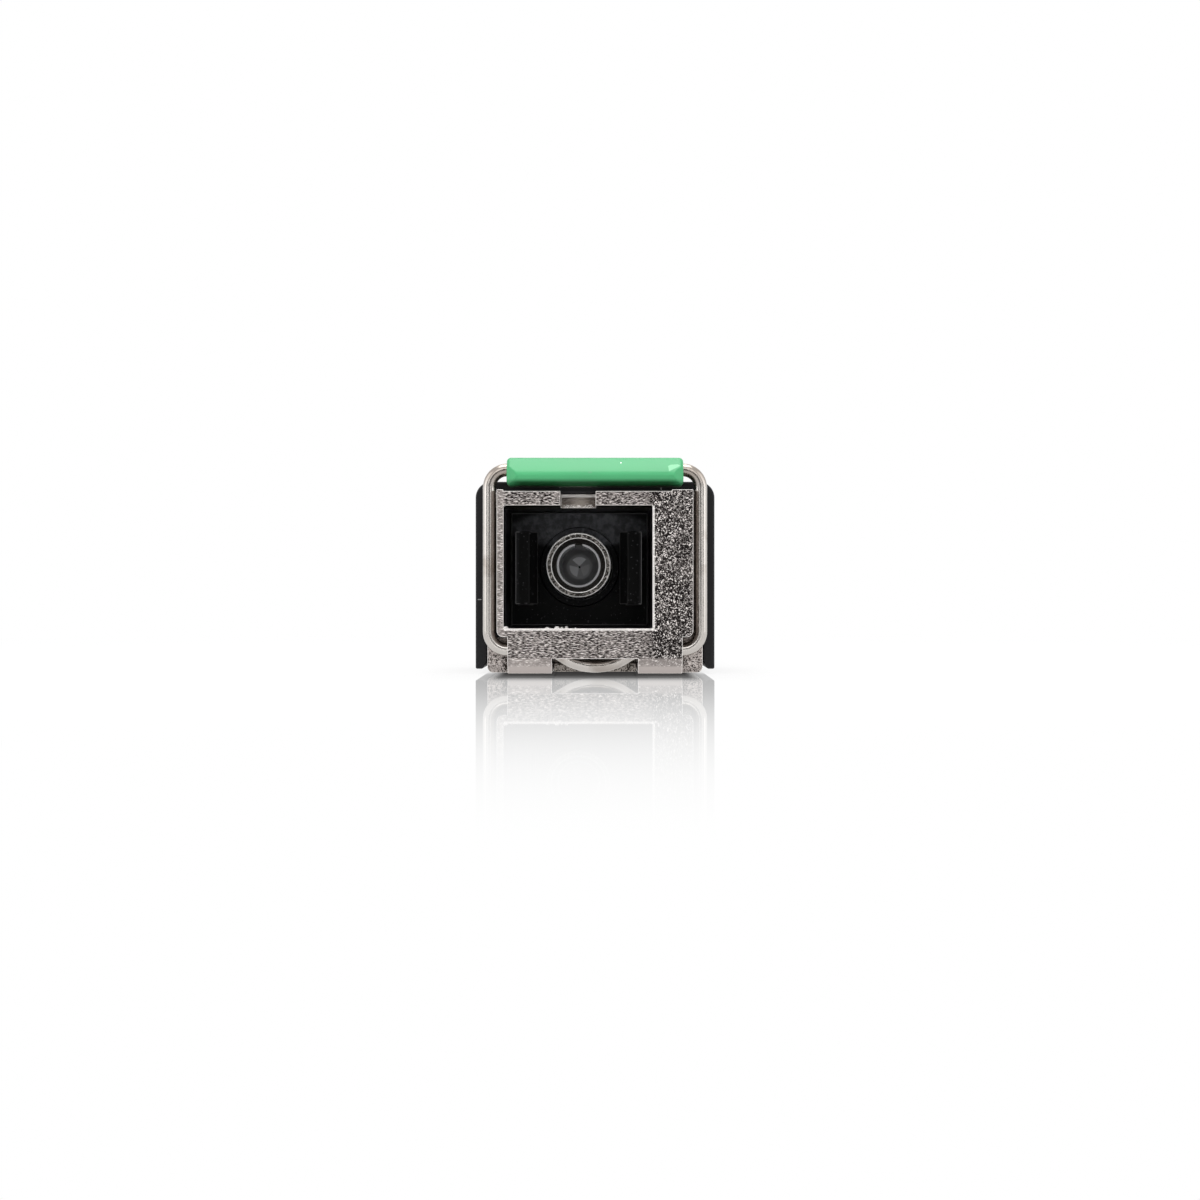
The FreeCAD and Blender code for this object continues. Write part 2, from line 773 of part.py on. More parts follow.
def make_emi_collar():
    """Make the shielding collar: a band round the top and sides, with bowed spring fingers behind it."""
    body = new_body("emi_collar")
    wall = d.collar_thickness
    outer = body_half + wall
    top = body_top + wall
    skirt = d.body_lift + d.collar_skirt
    start = d.head_length + d.collar_start
    band_end = start + d.collar_band
    finger_end = band_end + d.finger_length
    turn_in = d.lid_radius
    turn_out = turn_in + wall
    prism(
        body, "band", "XZ", start, band_end,
        [(outer, skirt), (outer, top - turn_out, turn_out), (outer - turn_out, top),
         (turn_out - outer, top, turn_out), (-outer, top - turn_out), (-outer, skirt),
         (-body_half, skirt), (-body_half, body_top - turn_in, -turn_in),
         (turn_in - body_half, body_top), (body_half - turn_in, body_top, -turn_in),
         (body_half, body_top - turn_in), (body_half, skirt)],
    )
    half_chord = (finger_end - band_end) / 2
    inner_radius = (half_chord * half_chord + d.finger_rise * d.finger_rise) / (d.finger_rise * 2)
    outer_radius = inner_radius + wall
    for index in range(TOP_FINGERS):
        middle = d.finger_pitch * (index - (TOP_FINGERS - 1) / 2)
        prism(
            body, "top_finger_%d" % index, "YZ", middle - d.finger_width / 2, middle + d.finger_width / 2,
            [(band_end, top, -outer_radius), (finger_end, top), (finger_end, body_top, inner_radius),
             (band_end, body_top)],
        )
    for side, sign in (("left", -1), ("right", 1)):
        for index in range(SIDE_FINGERS):
            base = skirt + d.collar_thickness + d.finger_pitch * index
            prism(
                body, "side_finger_%s_%d" % (side, index), "XY", base, base + d.finger_width,
                [(sign * outer, band_end, sign * outer_radius), (sign * outer, finger_end),
                 (sign * body_half, finger_end, -sign * inner_radius), (sign * body_half, band_end)],
            )
    return body


def make_bail_wire():
    """Make the bail from one bent wire: legs, corners, pivot runs and the bow that pushes the slider."""
    body = new_body("bail_wire")
    low = d.pivot_height
    share = d.bow_radius / bow_reach
    meet_x = bow_start_x * share
    meet_z = low + bow_rise - (bow_rise + d.bow_bend) * share
    bend = d.bend_radius
    end = d.wire_end_gap / 2
    path = new_sketch(body, "wire_path", "XZ", d.bail_setback)
    draw_outline(
        path,
        [(-end, top_run), (-bend_x, top_run, bend), (-leg_x, top_run - bend),
         (-leg_x, low + bend, bend), (-bend_x, low),
         (-bow_start_x, low, -d.bow_bend), (-meet_x, meet_z, d.bow_radius),
         (meet_x, meet_z, -d.bow_bend), (bow_start_x, low),
         (bend_x, low, bend), (leg_x, low + bend),
         (leg_x, top_run - bend, bend), (bend_x, top_run), (end, top_run)],
        closed=False,
    )
    section = new_sketch(body, "wire_section", "YZ", -end)
    draw_circle(section, d.bail_setback, top_run, wire_radius)
    pipe = body.newObject("PartDesign::AdditivePipe", "wire")
    pipe.Profile = section
    pipe.Spine = path
    pipe.Transition = "Transformed"
    return body


def make_bail_grip():
    """Make the faceted grip moulded round the bail's top run."""
    body = new_body("bail_grip")
    middle_z = top_run - d.grip_drop
    low = middle_z - d.grip_height / 2
    high = middle_z + d.grip_height / 2
    nose_low = low + d.grip_lower
    nose_high = nose_low + d.grip_nose
    middle = d.bail_setback
    half = d.grip_depth / 2
    top = d.grip_top / 2
    bottom = d.grip_bottom / 2
    end = d.grip_width / 2
    prism(
        body, "grip_bar", "YZ", -end, end,
        [(middle - half, nose_high), (middle - half, nose_low),
         (middle - bottom, low), (middle + bottom, low),
         (middle + half, nose_low), (middle + half, nose_high),
         (middle + top, high), (middle - top, high)],
    )
    soften(body, "broken_edges", d.grip_break, lambda point: True)
    carve(body, "wire_hole", "YZ", -end, end, (middle, top_run, wire_radius))
    facets = []
    for across in (-1, 1):
        for along in (-1, 1):
            nose = middle + along * half
            facets.append([
                (across * end, nose), (across * (end - d.grip_end_width), nose),
                (across * end, nose - along * d.grip_end_depth),
            ])
    carve(body, "end_facets", "XY", low, high, *facets)
    return body


def make_release_slider():
    """Make the slider that the bow pushes back, with wedge tines at its rear that lift the cage's tongue."""
    body = new_body("release_slider")
    base = d.slider_base
    web_top = base + d.web_height
    arch = d.arch_width / 2
    arch_radius = (arch * arch + d.arch_rise * d.arch_rise) / (d.arch_rise * 2)
    prism(body, "bar", "XZ", web_end, slider_end, rectangle(-slider_half, slider_half, base, slider_top))
    prism(
        body, "front_web", "XZ", d.slider_front, web_end,
        [(-slider_half, base), (slider_half, base), (slider_half, web_top), (arch, web_top, arch_radius),
         (-arch, web_top), (-slider_half, web_top)],
    )
    tab_start = d.slider_front + d.tab_setback
    prism(
        body, "push_tab", "XZ", tab_start, tab_start + d.tab_depth, rectangle(-arch, arch, base, d.tab_top),
    )
    prism(
        body, "ears", "XZ", ear_start, ear_end,
        rectangle(-ear_half, ear_half, slider_top - d.ear_thickness, slider_top),
    )
    spring_half = d.spring_diameter / 2 + d.slide_gap
    window_end = d.spring_front + d.spring_length + d.lug_length + d.slide_gap
    carve(
        body, "spring_window", "XZ", d.spring_front, window_end,
        rectangle(-spring_half, spring_half, 0, slot_top),
    )
    inner = d.tine_gap / 2
    tip = base + d.tine_height
    for side, start, end in (("left", -slider_half, -inner), ("right", inner, slider_half)):
        prism(
            body, "tine_" + side, "YZ", start, end,
            [(slider_end, base), (d.head_length - d.tine_height, base), (d.head_length, tip),
             (slider_end, tip)],
        )
    return body


def make_slider_spring():
    """Make the coil spring between the slider and the housing's lug."""
    axis_height = d.slider_base + d.slider_height / 2
    body = new_body("slider_spring", z=axis_height)
    coil = (d.spring_diameter - d.spring_wire) / 2
    section = new_sketch(body, "coil_section", "YZ", 0)
    half = d.spring_wire / 2
    middle = d.spring_front + d.spring_end_gap + half
    draw_outline(section, rectangle(middle - half, middle + half, coil - half, coil + half))
    helix = body.newObject("PartDesign::AdditiveHelix", "coil")
    helix.Profile = section
    helix.ReferenceAxis = (section, ["H_Axis"])
    helix.Mode = "height-turns-angle"
    helix.setExpression("Height", (d.spring_length - d.spring_wire - d.spring_end_gap * 2).text)
    helix.setExpression("Turns", d.spring_turns.text)
    return body


def make_sc_housing():
    """Make the black shroud that lines the socket behind the front frame."""
    body = new_body("sc_housing")
    top = socket_top + d.shroud_wall
    back = shroud_end - d.shroud_back
    prism(
        body, "shroud", "XZ", frame_depth, shroud_end,
        rectangle(shroud_left, shroud_right, shroud_bottom, top),
    )
    carve(
        body, "plug_space", "XZ", frame_depth, back,
        rectangle(socket_left, socket_right, d.socket_floor, socket_top),
    )
    carve(
        body, "roof_relief", "XZ", frame_depth, roof_depth + d.fit_gap,
        rectangle(shroud_left, shroud_right, socket_top - d.fit_gap, top),
    )
    carve(body, "holder_hole", "XZ", back, shroud_end, (axis_x, axis_z, d.holder_diameter / 2 + d.fit_gap))
    return body


def make_sc_hooks():
    """Make the insert with the two latch arms that grip the plug."""
    body = new_body("sc_hooks")
    back = shroud_end - d.shroud_back
    plate = back - d.hook_plate
    gap = d.fit_gap
    prism(
        body, "plate", "XZ", plate, back,
        rectangle(socket_left + gap, socket_right - gap, d.socket_floor + gap, socket_top - gap),
    )
    low = socket_middle - d.hook_height / 2
    high = socket_middle + d.hook_height / 2
    outer = d.hook_inner + d.hook_barb + d.hook_thickness
    tip = plate - d.hook_length
    catch = tip + d.hook_barb_length
    for side, sign in (("left", -1), ("right", 1)):
        far = axis_x + sign * outer
        near = axis_x + sign * (outer - d.hook_thickness)
        barb = axis_x + sign * d.hook_inner
        prism(
            body, "arm_" + side, "XY", low, high,
            [(far, plate), (far, tip), (near, tip), (barb, catch - d.hook_barb / 2),
             (barb, catch), (near, catch), (near, plate)],
        )
    carve(body, "holder_hole", "XZ", plate, back, (axis_x, axis_z, d.holder_diameter / 2 + d.fit_gap))
    return body


def make_sleeve_holder():
    """Make the turned barrel that holds the split sleeve and the stub."""
    body = new_body("sleeve_holder", x=axis_x, z=axis_z)
    outer = d.holder_diameter / 2
    edge = d.holder_edge
    front = d.holder_setback
    lip = front + d.holder_lead
    seat = d.sleeve_outer / 2 + d.sleeve_gap
    seat_end = d.ferrule_depth
    rear = shroud_end + d.flange_thickness + d.neck_length + d.spigot_length
    flange = d.flange_diameter / 2
    flange_end = shroud_end + d.flange_thickness
    bore = d.stub_collar / 2
    turn(
        body, "barrel",
        [(front, d.holder_bevel / 2), (front, outer - edge), (front + edge, outer), (shroud_end, outer),
         (shroud_end, flange), (flange_end, flange), (flange_end, outer), (rear, outer), (rear, bore),
         (seat_end, bore), (seat_end, seat), (lip, seat), (lip, d.holder_mouth / 2)],
    )
    return body


def make_split_sleeve():
    """Make the slit sleeve that guides a plug's ferrule onto the stub."""
    body = new_body("split_sleeve", x=axis_x, z=axis_z)
    inner = d.ferrule_diameter / 2 + d.ferrule_gap
    outer = d.sleeve_outer / 2
    front = d.holder_setback + d.holder_lead + d.sleeve_end_gap
    end = d.ferrule_depth - d.sleeve_end_gap
    turn(body, "tube", [(front, inner), (front, outer), (end, outer), (end, inner)])
    half = d.sleeve_slit / 2
    carve(body, "slit", "XY", 0, outer + d.sleeve_slit, rectangle(-half, half, front, end))
    return body


def make_fiber_stub():
    """Make the polished ferrule at the bottom of the sleeve, with the collar pressed into the barrel."""
    body = new_body("fiber_stub", x=axis_x, z=axis_z)
    front = d.ferrule_depth
    shoulder = front + d.stub_chamfer
    rear = shroud_end + d.flange_thickness + d.neck_length + d.spigot_length
    radius = d.ferrule_diameter / 2
    collar = d.stub_collar / 2
    turn(
        body, "ferrule",
        [(front, 0), (front, d.stub_face / 2), (shoulder, radius),
         (shoulder, collar), (rear, collar), (rear, 0)],
    )
    return body


def make_optic_clip():
    """Make the U-shaped plate that is pushed down behind the barrel's flange."""
    body = new_body("optic_clip")
    start = shroud_end + d.flange_thickness
    end = start + d.clip_thickness
    top = head_top - d.fit_gap
    half = d.holder_diameter / 2 + d.fit_gap
    prism(body, "plate", "XZ", start, end, rectangle(shroud_left, shroud_right, shroud_bottom, top))
    carve(body, "slot_end", "XZ", start, end, (axis_x, axis_z, half))
    carve(body, "slot", "XZ", start, end, rectangle(axis_x - half, axis_x + half, shroud_bottom, axis_z))
    return body


def make_bosa_body():
    """Make the block that joins the barrel, the laser and the receiver."""
    body = new_body("bosa_body", x=axis_x, z=axis_z)
    half = d.block_width / 2
    start = shroud_end + d.flange_thickness + d.neck_length
    end = start + d.block_length
    prism(body, "block", "XZ", start, end, rectangle(-half, half, -half, half))
    soften(body, "broken_edges", d.block_chamfer, lambda point: abs(abs(point.x) - half.value) < TOUCH)
    carve(
        body, "spigot_bore", "XZ", start, start + d.spigot_length + d.weld_gap,
        (0, 0, d.holder_diameter / 2 + d.weld_gap),
    )
    carve(
        body, "laser_bore", "XZ", end - d.can_cap_length - d.weld_gap, end,
        (0, 0, d.can_cap / 2 + d.weld_gap),
    )
    middle = start + d.block_length / 2
    carve(
        body, "receiver_bore", "YZ", half - d.receiver_cap_length - d.weld_gap, half,
        (middle, 0, d.receiver_cap / 2 + d.weld_gap),
    )
    return body


def make_can(label, x, y, stem, stem_length, cap, cap_length, plane):
    """Make a laser or receiver can: a cap that sits in the block and a wider stem behind it."""
    body = new_body(label, x=x, y=y, z=axis_z)
    turn(
        body, "can",
        [(-cap_length, 0), (-cap_length, cap / 2), (0, cap / 2), (0, stem / 2), (stem_length, stem / 2),
         (stem_length, 0)],
        plane=plane,
    )
    return body


def make_leads(label, x, y, start, plane):
    """Make the four leads of a can as one group, standing on its stem."""
    body = new_body(label, x=x, y=y, z=axis_z)
    half = d.lead_width / 2
    reach = d.lead_circle / 2
    leads = []
    for across, up in ((1, 0), (0, 1), (-1, 0), (0, -1)):
        u = reach * across
        v = reach * up
        leads.append(rectangle(u - half, u + half, v - half, v + half))
    prism(body, "leads", plane, start, start + d.lead_length, *leads)
    return body


def make_laser_flex(laser_y):
    """Make the flexible circuit from the laser's leads down to the board."""
    body = new_body("laser_flex", x=axis_x)
    wall = d.flex_thickness
    start = laser_y + d.can_stem_length + d.lead_length
    half = d.flex_width / 2
    top = lid_under - d.fit_gap
    bend = d.flex_bend
    tail = board_start + d.flex_tail
    level = board_top
    prism(
        body, "strip", "YZ", -half, half,
        [(start, top), (start, level + bend + wall, bend + wall),
         (start + bend + wall, level), (tail, level),
         (tail, level + wall), (start + bend + wall, level + wall, -bend),
         (start + wall, level + wall + bend), (start + wall, top)],
    )
    return body


def make_receiver_flex(receiver_x, receiver_y):
    """Make the flexible circuit from the receiver's leads along the side to the board."""
    body = new_body("receiver_flex")
    wall = d.flex_thickness
    plane_x = receiver_x + d.receiver_stem_length + d.lead_length
    half = d.flex_width / 2
    tail = board_start + d.flex_tail
    level = board_top
    neck = axis_z - half + d.flex_foot
    prism(
        body, "strip", "YZ", plane_x, plane_x + wall,
        [(receiver_y - half, axis_z - half), (board_start, axis_z - half),
         (board_start, level), (tail, level), (tail, neck), (receiver_y + half, neck),
         (receiver_y + half, axis_z + half), (receiver_y - half, axis_z + half)],
    )
    prism(
        body, "foot", "XY", level, level + wall,
        rectangle(plane_x - d.flex_foot, plane_x + wall, board_start, tail),
    )
    return body


def make_circuit_board():
    """Make the board, which narrows to the paddle that plugs into the host."""
    body = new_body("circuit_board")
    half = tray_half - d.board_gap
    paddle = d.paddle_width / 2
    neck = board_end - d.paddle_length
    prism(
        body, "board", "XY", board_bottom, board_top,
        [(-half, board_start), (half, board_start), (half, neck), (paddle, neck), (paddle, board_end),
         (-paddle, board_end), (-paddle, neck), (-half, neck)],
    )
    return body


def make_edge_contacts():
    """Make the gold contacts on both faces of the paddle as one group."""
    body = new_body("edge_contacts")
    end = board_end - d.contact_inset
    half = d.contact_width / 2
    pads = []
    for index in range(CONTACTS):
        middle = d.contact_pitch * (index - (CONTACTS - 1) / 2)
        pads.append(rectangle(middle - half, middle + half, end - d.contact_length, end))
    prism(body, "top_contacts", "XY", board_top, board_top + d.contact_thickness, *pads)
    prism(body, "bottom_contacts", "XY", board_bottom - d.contact_thickness, board_bottom, *pads)
    return body


def make_chip(label, middle_x, start, across, along, height):
    """Make one component that sits on the board's top, with its upper edges broken."""
    body = new_body(label)
    half = across / 2
    top = board_top + height
    prism(
        body, "case", "XY", board_top, top,
        rectangle(middle_x - half, middle_x + half, start, start + along),
    )
    soften(body, "top_edges", d.chip_chamfer, lambda point: abs(point.z - top.value) < TOUCH)
    return body


def make_component_rows():
    """Make the power inductors and the ceramic capacitors, each as one group."""
    inductors = new_body("power_inductors")
    side = d.inductor_size
    cans = []
    for sign in (-1, 1):
        left = sign * d.inductor_pitch - side / 2
        cans.append(rectangle(left, left + side, converter_start, converter_start + side))
    prism(inductors, "cores", "XY", board_top, board_top + d.inductor_height, *cans)
    capacitors = new_body("capacitors")
    chips = []
    for index in range(CAPACITORS):
        left = d.capacitor_pitch * (index - (CAPACITORS - 1) / 2) - d.capacitor_width / 2
        right = left + d.capacitor_width
        chips.append(rectangle(left, right, capacitor_start, capacitor_start + d.capacitor_length))
    prism(capacitors, "chips", "XY", board_top, board_top + d.capacitor_width, *chips)
    return [inductors, capacitors]


def make_thermal_pad():
    """Make the soft pad that carries the processor's heat to the lid."""
    body = new_body("thermal_pad")
    half = d.pad_size / 2
    inset = (d.processor_size - d.pad_size) / 2
    start = processor_start + inset
    prism(
        body, "pad", "XY", board_top + d.processor_height, lid_under,
        rectangle(-half, half, start, start + d.pad_size),
    )
    return body


def make_optics():
    """Make everything on the socket's axis, from the barrel to the flexible circuits."""
    block_start = shroud_end + d.flange_thickness + d.neck_length
    laser_y = block_start + d.block_length
    receiver_x = axis_x + d.block_width / 2
    receiver_y = block_start + d.block_length / 2
    return [
        make_sleeve_holder(),
        make_split_sleeve(),
        make_fiber_stub(),
        make_optic_clip(),
        make_bosa_body(),
        make_can(
            "laser_can", axis_x, laser_y, d.can_stem, d.can_stem_length, d.can_cap,
            d.can_cap_length, "YZ",
        ),
        make_leads("laser_leads", axis_x, laser_y, d.can_stem_length, "XZ"),
        make_can(
            "receiver_can", receiver_x, receiver_y, d.receiver_stem, d.receiver_stem_length, d.receiver_cap,
            d.receiver_cap_length, "XY",
        ),
        make_leads("receiver_leads", receiver_x, receiver_y, d.receiver_stem_length, "YZ"),
        make_laser_flex(laser_y),
        make_receiver_flex(receiver_x, receiver_y),
    ]


def make_board():
    """Make the board and everything that it carries."""
    return [
        make_circuit_board(),
        make_edge_contacts(),
        make_chip(
            "onu_processor", as_size(0), processor_start, d.processor_size, d.processor_size,
            d.processor_height,
        ),
        make_chip("flash_memory", as_size(0), flash_start, d.flash_width, d.flash_length, d.flash_height),
        make_chip("laser_driver", axis_x, driver_start, d.driver_size, d.driver_size, d.driver_height),
        make_chip(
            "power_converter", as_size(0), converter_start, d.converter_size, d.converter_size,
            d.converter_height,
        ),
        make_chip(
            "oscillator_can", d.driver_size, oscillator_start, d.oscillator_width, d.oscillator_length,
            d.oscillator_height,
        ),
        *make_component_rows(),
        make_thermal_pad(),
    ]


def make_module():
    """Make every sub-part of the module."""
    return [
        make_lower_housing(),
        make_head_cover(),
        make_top_lid(),
        make_emi_collar(),
        make_bail_wire(),
        make_bail_grip(),
        make_release_slider(),
        make_slider_spring(),
        make_sc_housing(),
        make_sc_hooks(),
        *make_optics(),
        *make_board(),
    ]


def check_document():
    """Stop if any object of the document failed to build."""
    for item in doc.Objects:
        if "Invalid" in item.State or "Error" in item.State:
            raise RuntimeError("%s failed to build: %s" % (item.Label, item.State))


parts = make_module()
doc.recompute()
check_document()
os.makedirs("parts", exist_ok=True)
for part in parts:
    if part.Shape.isNull() or not part.Shape.isValid():
        raise RuntimeError("%s has no valid shape" % part.Label)
for part in parts:
    part.Shape.exportStep("parts/%s.step" % part.Label)
    print("%-16s %d solids %10.3f mm3" % (part.Label, len(part.Shape.Solids), part.Shape.Volume))
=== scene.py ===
"""Dress a pluggable optical network module: cast head, wire bail latch, fibre socket and slim rear body."""

import json
import logging
import math
from dataclasses import dataclass
from enum import Enum
from typing import Any, Union

import bmesh
import bpy
from mathutils import Matrix, Vector


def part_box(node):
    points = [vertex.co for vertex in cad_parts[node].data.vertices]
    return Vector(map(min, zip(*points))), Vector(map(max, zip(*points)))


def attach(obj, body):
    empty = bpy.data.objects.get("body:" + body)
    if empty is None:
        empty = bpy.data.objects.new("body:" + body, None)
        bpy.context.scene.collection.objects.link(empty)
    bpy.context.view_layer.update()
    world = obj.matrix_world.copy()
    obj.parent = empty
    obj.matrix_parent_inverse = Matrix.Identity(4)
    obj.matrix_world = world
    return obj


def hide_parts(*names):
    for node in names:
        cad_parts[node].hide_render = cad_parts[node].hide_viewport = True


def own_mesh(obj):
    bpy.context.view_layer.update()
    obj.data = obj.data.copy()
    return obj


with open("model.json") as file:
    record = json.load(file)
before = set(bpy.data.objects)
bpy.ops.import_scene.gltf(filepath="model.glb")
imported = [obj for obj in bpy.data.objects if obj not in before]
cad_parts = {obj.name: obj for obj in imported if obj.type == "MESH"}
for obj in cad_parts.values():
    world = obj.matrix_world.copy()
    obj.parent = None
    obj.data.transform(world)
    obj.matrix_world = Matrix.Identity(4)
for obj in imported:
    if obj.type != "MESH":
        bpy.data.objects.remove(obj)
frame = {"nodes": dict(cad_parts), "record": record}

LOG = logging.getLogger("module")
MM = 0.001
RIM = "rim"
Colour = tuple[float, float, float]
Step = tuple[float, float]
WHITE = (1.0, 1.0, 1.0)
BLACK = (0.0, 0.0, 0.0)
EVEN = (1.0, 1.0, 1.0)


class Axis(Enum):
    """The row frame's axes, in the order of a vector's parts."""

    ACROSS = "X"
    ALONG = "Y"
    UP = "Z"


class Value:
    """One output socket of a material, so that shader maths reads as plain arithmetic."""

    def __init__(self, kit: "NodeKit", socket: bpy.types.NodeSocket) -> None:
        """Keep the socket and the material that it belongs to."""
        self.kit = kit
        self.socket = socket

    def __add__(self, other: "Number") -> "Value":
        """Return the sum."""
        return self.kit.math("ADD", self, other)

    __radd__ = __add__

    def __sub__(self, other: "Number") -> "Value":
        """Return the difference."""
        return self.kit.math("SUBTRACT", self, other)

    def __rsub__(self, other: "Number") -> "Value":
        """Return the difference, the other way round."""
        return self.kit.math("SUBTRACT", other, self)

    def __mul__(self, other: "Number") -> "Value":
        """Return the product."""
        return self.kit.math("MULTIPLY", self, other)

    __rmul__ = __mul__

    def between(self, low: float, high: float) -> "Value":
        """Return a smooth step from 0 at low to 1 at high.

        Args:
            low: The value that gives 0.
            high: The value that gives 1, which may lie below low.

        Returns:
            The step, held between 0 and 1.
        """
        settings = {"interpolation_type": "SMOOTHSTEP", "clamp": True}
        inputs = {"Value": self, "From Min": low, "From Max": high}
        return self.kit.value("ShaderNodeMapRange", settings, inputs)


Number = Union[Value, float]
Setting = Union[Value, float, tuple]


class NodeKit:
    """The nodes of a material or a world under construction."""

    def __init__(self, owner: Union[bpy.types.Material, bpy.types.World]) -> None:
        """Start with no node.

        Args:
            owner: The material or world, as it was made.
        """
        owner.use_nodes = True
        self.owner = owner
        self.tree = owner.node_tree
        self.tree.nodes.clear()

    @classmethod
    def material(cls, name: str) -> "NodeKit":
        """Return the nodes of a new material of that name."""
        return cls(bpy.data.materials.new(name))

    def node(self, kind: str, settings: dict[str, Any], inputs: dict[Any, Setting]) -> bpy.types.Node:
        """Add one node.

        Args:
            kind: The node's type.
            settings: Its options, which are set before its sockets.
            inputs: The value or link of each socket, by name or place.

        Returns:
            The node.
        """
        node = self.tree.nodes.new(kind)
        for name, choice in settings.items():
            setattr(node, name, choice)
        for name, given in inputs.items():
            if isinstance(given, Value):
                self.tree.links.new(given.socket, node.inputs[name])
            elif isinstance(given, tuple) and len(given) == 3 and node.inputs[name].type == "RGBA":
                node.inputs[name].default_value = (*given, 1.0)
            else:
                node.inputs[name].default_value = given
        return node

    def value(self, kind: str, settings: dict[str, Any], inputs: dict[Any, Setting],
              output: Any = 0) -> Value:
        """Add one node and return one of its outputs.

        Args:
            kind: The node's type.
            settings: Its options.
            inputs: The value or link of each socket.
            output: The output's name or place.

        Returns:
            The output.
        """
        return Value(self, self.node(kind, settings, inputs).outputs[output])

    def math(self, operation: str, first: Number, second: Number) -> Value:
        """Return one sum on two values."""
        return self.value("ShaderNodeMath", {"operation": operation}, {0: first, 1: second})

    def largest(self, first: Number, second: Number) -> Value:
        """Return the larger of two values."""
        return self.math("MAXIMUM", first, second)

    def place(self) -> Value:
        """Return the piece's own coordinates, in metres."""
        return self.value("ShaderNodeTexCoord", {}, {}, "Object")

    def part(self, axis: Axis, start: float = 0.0) -> Value:
        """Return one of the piece's own coordinates, in millimetres.

        Args:
            axis: Which of the three.
            start: Where it counts from, in metres.

        Returns:
            The coordinate.
        """
        found = self.value("ShaderNodeSeparateXYZ", {}, {0: self.place()}, axis.value)
        return (found - start) * (1 / MM)

    def depth(self) -> Value:
        """Return the distance behind the housing's front face, in millimetres."""
        return self.part(Axis.ALONG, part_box("lower_housing")[0].y)

    def attribute(self, name: str) -> Value:
        """Return a number that is stored on the piece's faces."""
        return self.value("ShaderNodeAttribute", {"attribute_name": name}, {}, "Fac")

    def noise(self, scale: float, detail: float, distortion: float = 0.0,
              stretch: tuple = EVEN) -> Value:
        """Return soft noise around 0.5.

        Args:
            scale: How many lumps fit on a metre.
            detail: How many finer layers are added.
            distortion: How far the lumps are pulled into worms.
            stretch: The scale of each axis.

        Returns:
            The noise.
        """
        place = self.value("ShaderNodeMapping", {}, {"Vector": self.place(), "Scale": stretch})
        inputs = {"Vector": place, "Scale": scale, "Detail": detail, "Distortion": distortion}
        return self.value("ShaderNodeTexNoise", {}, inputs)

    def mix(self, share: Number, first: Setting, second: Setting) -> Value:
        """Return a colour between two, by share."""
        inputs = {0: share, 6: first, 7: second}
        return self.value("ShaderNodeMix", {"data_type": "RGBA"}, inputs, 2)

    def cloudy(self, clouds: Value, colour: Colour, deepest: float) -> Value:
        """Return a colour that drops to its deepest share where there are no clouds."""
        return self.mix(clouds, tuple(part * deepest for part in colour), colour)

    def bump(self, height: Value, strength: float, depth: float) -> Value:
        """Return the normal of a surface with small relief.

        Args:
            height: The relief, from 0 to 1.
            strength: How much of it shows.
            depth: Its full depth in millimetres.

        Returns:
            The normal.
        """
        inputs = {"Strength": strength, "Distance": depth * MM, "Height": height}
        return self.value("ShaderNodeBump", {}, inputs, "Normal")

    def spot(self, centre: tuple, reach: tuple, soft: float = 0.15) -> Value:
        """Return 1 inside an oval spot with a soft edge, and 0 outside it.

        Args:
            centre: The spot's middle in millimetres.
            reach: Its half sizes along the three axes in millimetres.
            soft: Half the width of its soft edge, as a share of the reach.

        Returns:
            The mask.
        """
        scale = tuple(1 / (size * MM) for size in reach)
        shift = tuple(-place / size for place, size in zip(centre, reach))
        inputs = {"Vector": self.place(), "Location": shift, "Scale": scale}
        moved = self.value("ShaderNodeMapping", {}, inputs)
        distance = self.value("ShaderNodeVectorMath", {"operation": "LENGTH"}, {0: moved}, "Value")
        return distance.between(1.0 + soft, 1.0 - soft)

    def reach(self, centre: Vector) -> Value:
        """Return the distance from a line that runs along the module, in millimetres.

        Args:
            centre: A point on the line, in metres.

        Returns:
            The distance.
        """
        across = self.part(Axis.ACROSS, centre.x)
        up = self.part(Axis.UP, centre.z)
        return self.math("SQRT", across * across + up * up, 0.0)

    def patch(self, corners: tuple, soft: float) -> Value:
        """Return 1 inside a convex outline that is seen from the front, and 0 outside it.

        Args:
            corners: The corners across and up in millimetres, clockwise.
            soft: Half the width of its soft edge in millimetres.

        Returns:
            The mask.
        """
        across = self.part(Axis.ACROSS)
        up = self.part(Axis.UP)
        mask: Number = 1.0
        for (here_x, here_z), (next_x, next_z) in zip(corners, corners[1:] + corners[:1]):
            run = math.hypot(next_x - here_x, next_z - here_z)
            side_x = (next_z - here_z) / run
            side_z = (here_x - next_x) / run
            inside = across * side_x + up * side_z - (here_x * side_x + here_z * side_z)
            mask = inside.between(-soft, soft) * mask
        return mask

    def window(self, left: float, right: float, low: float, high: float, soft: float) -> Value:
        """Return the patch of an upright rectangle, by its four sides in millimetres."""
        return self.patch(((left, high), (right, high), (right, low), (left, low)), soft)

    def seen(self) -> Value:
        """Return 1 for what the camera, a mirror or glass sees, and 0 for other light."""
        ray = self.node("ShaderNodeLightPath", {}, {})
        seen = Value(self, ray.outputs["Is Camera Ray"])
        for kind in ("Is Glossy Ray", "Is Transmission Ray"):
            seen = self.largest(seen, Value(self, ray.outputs[kind]))
        return seen

    def finish(self, sockets: dict[str, Setting]) -> bpy.types.Material:
        """Close the material with one surface shader that has these values and links."""
        shader = self.value("ShaderNodeBsdfPrincipled", {}, sockets)
        self.node("ShaderNodeOutputMaterial", {}, {"Surface": shader})
        return self.owner


def socket_axis() -> Vector:
    """Return the middle of the fibre stub, on the line that the socket's round pieces share."""
    low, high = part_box("fiber_stub")
    return (low + high) / 2


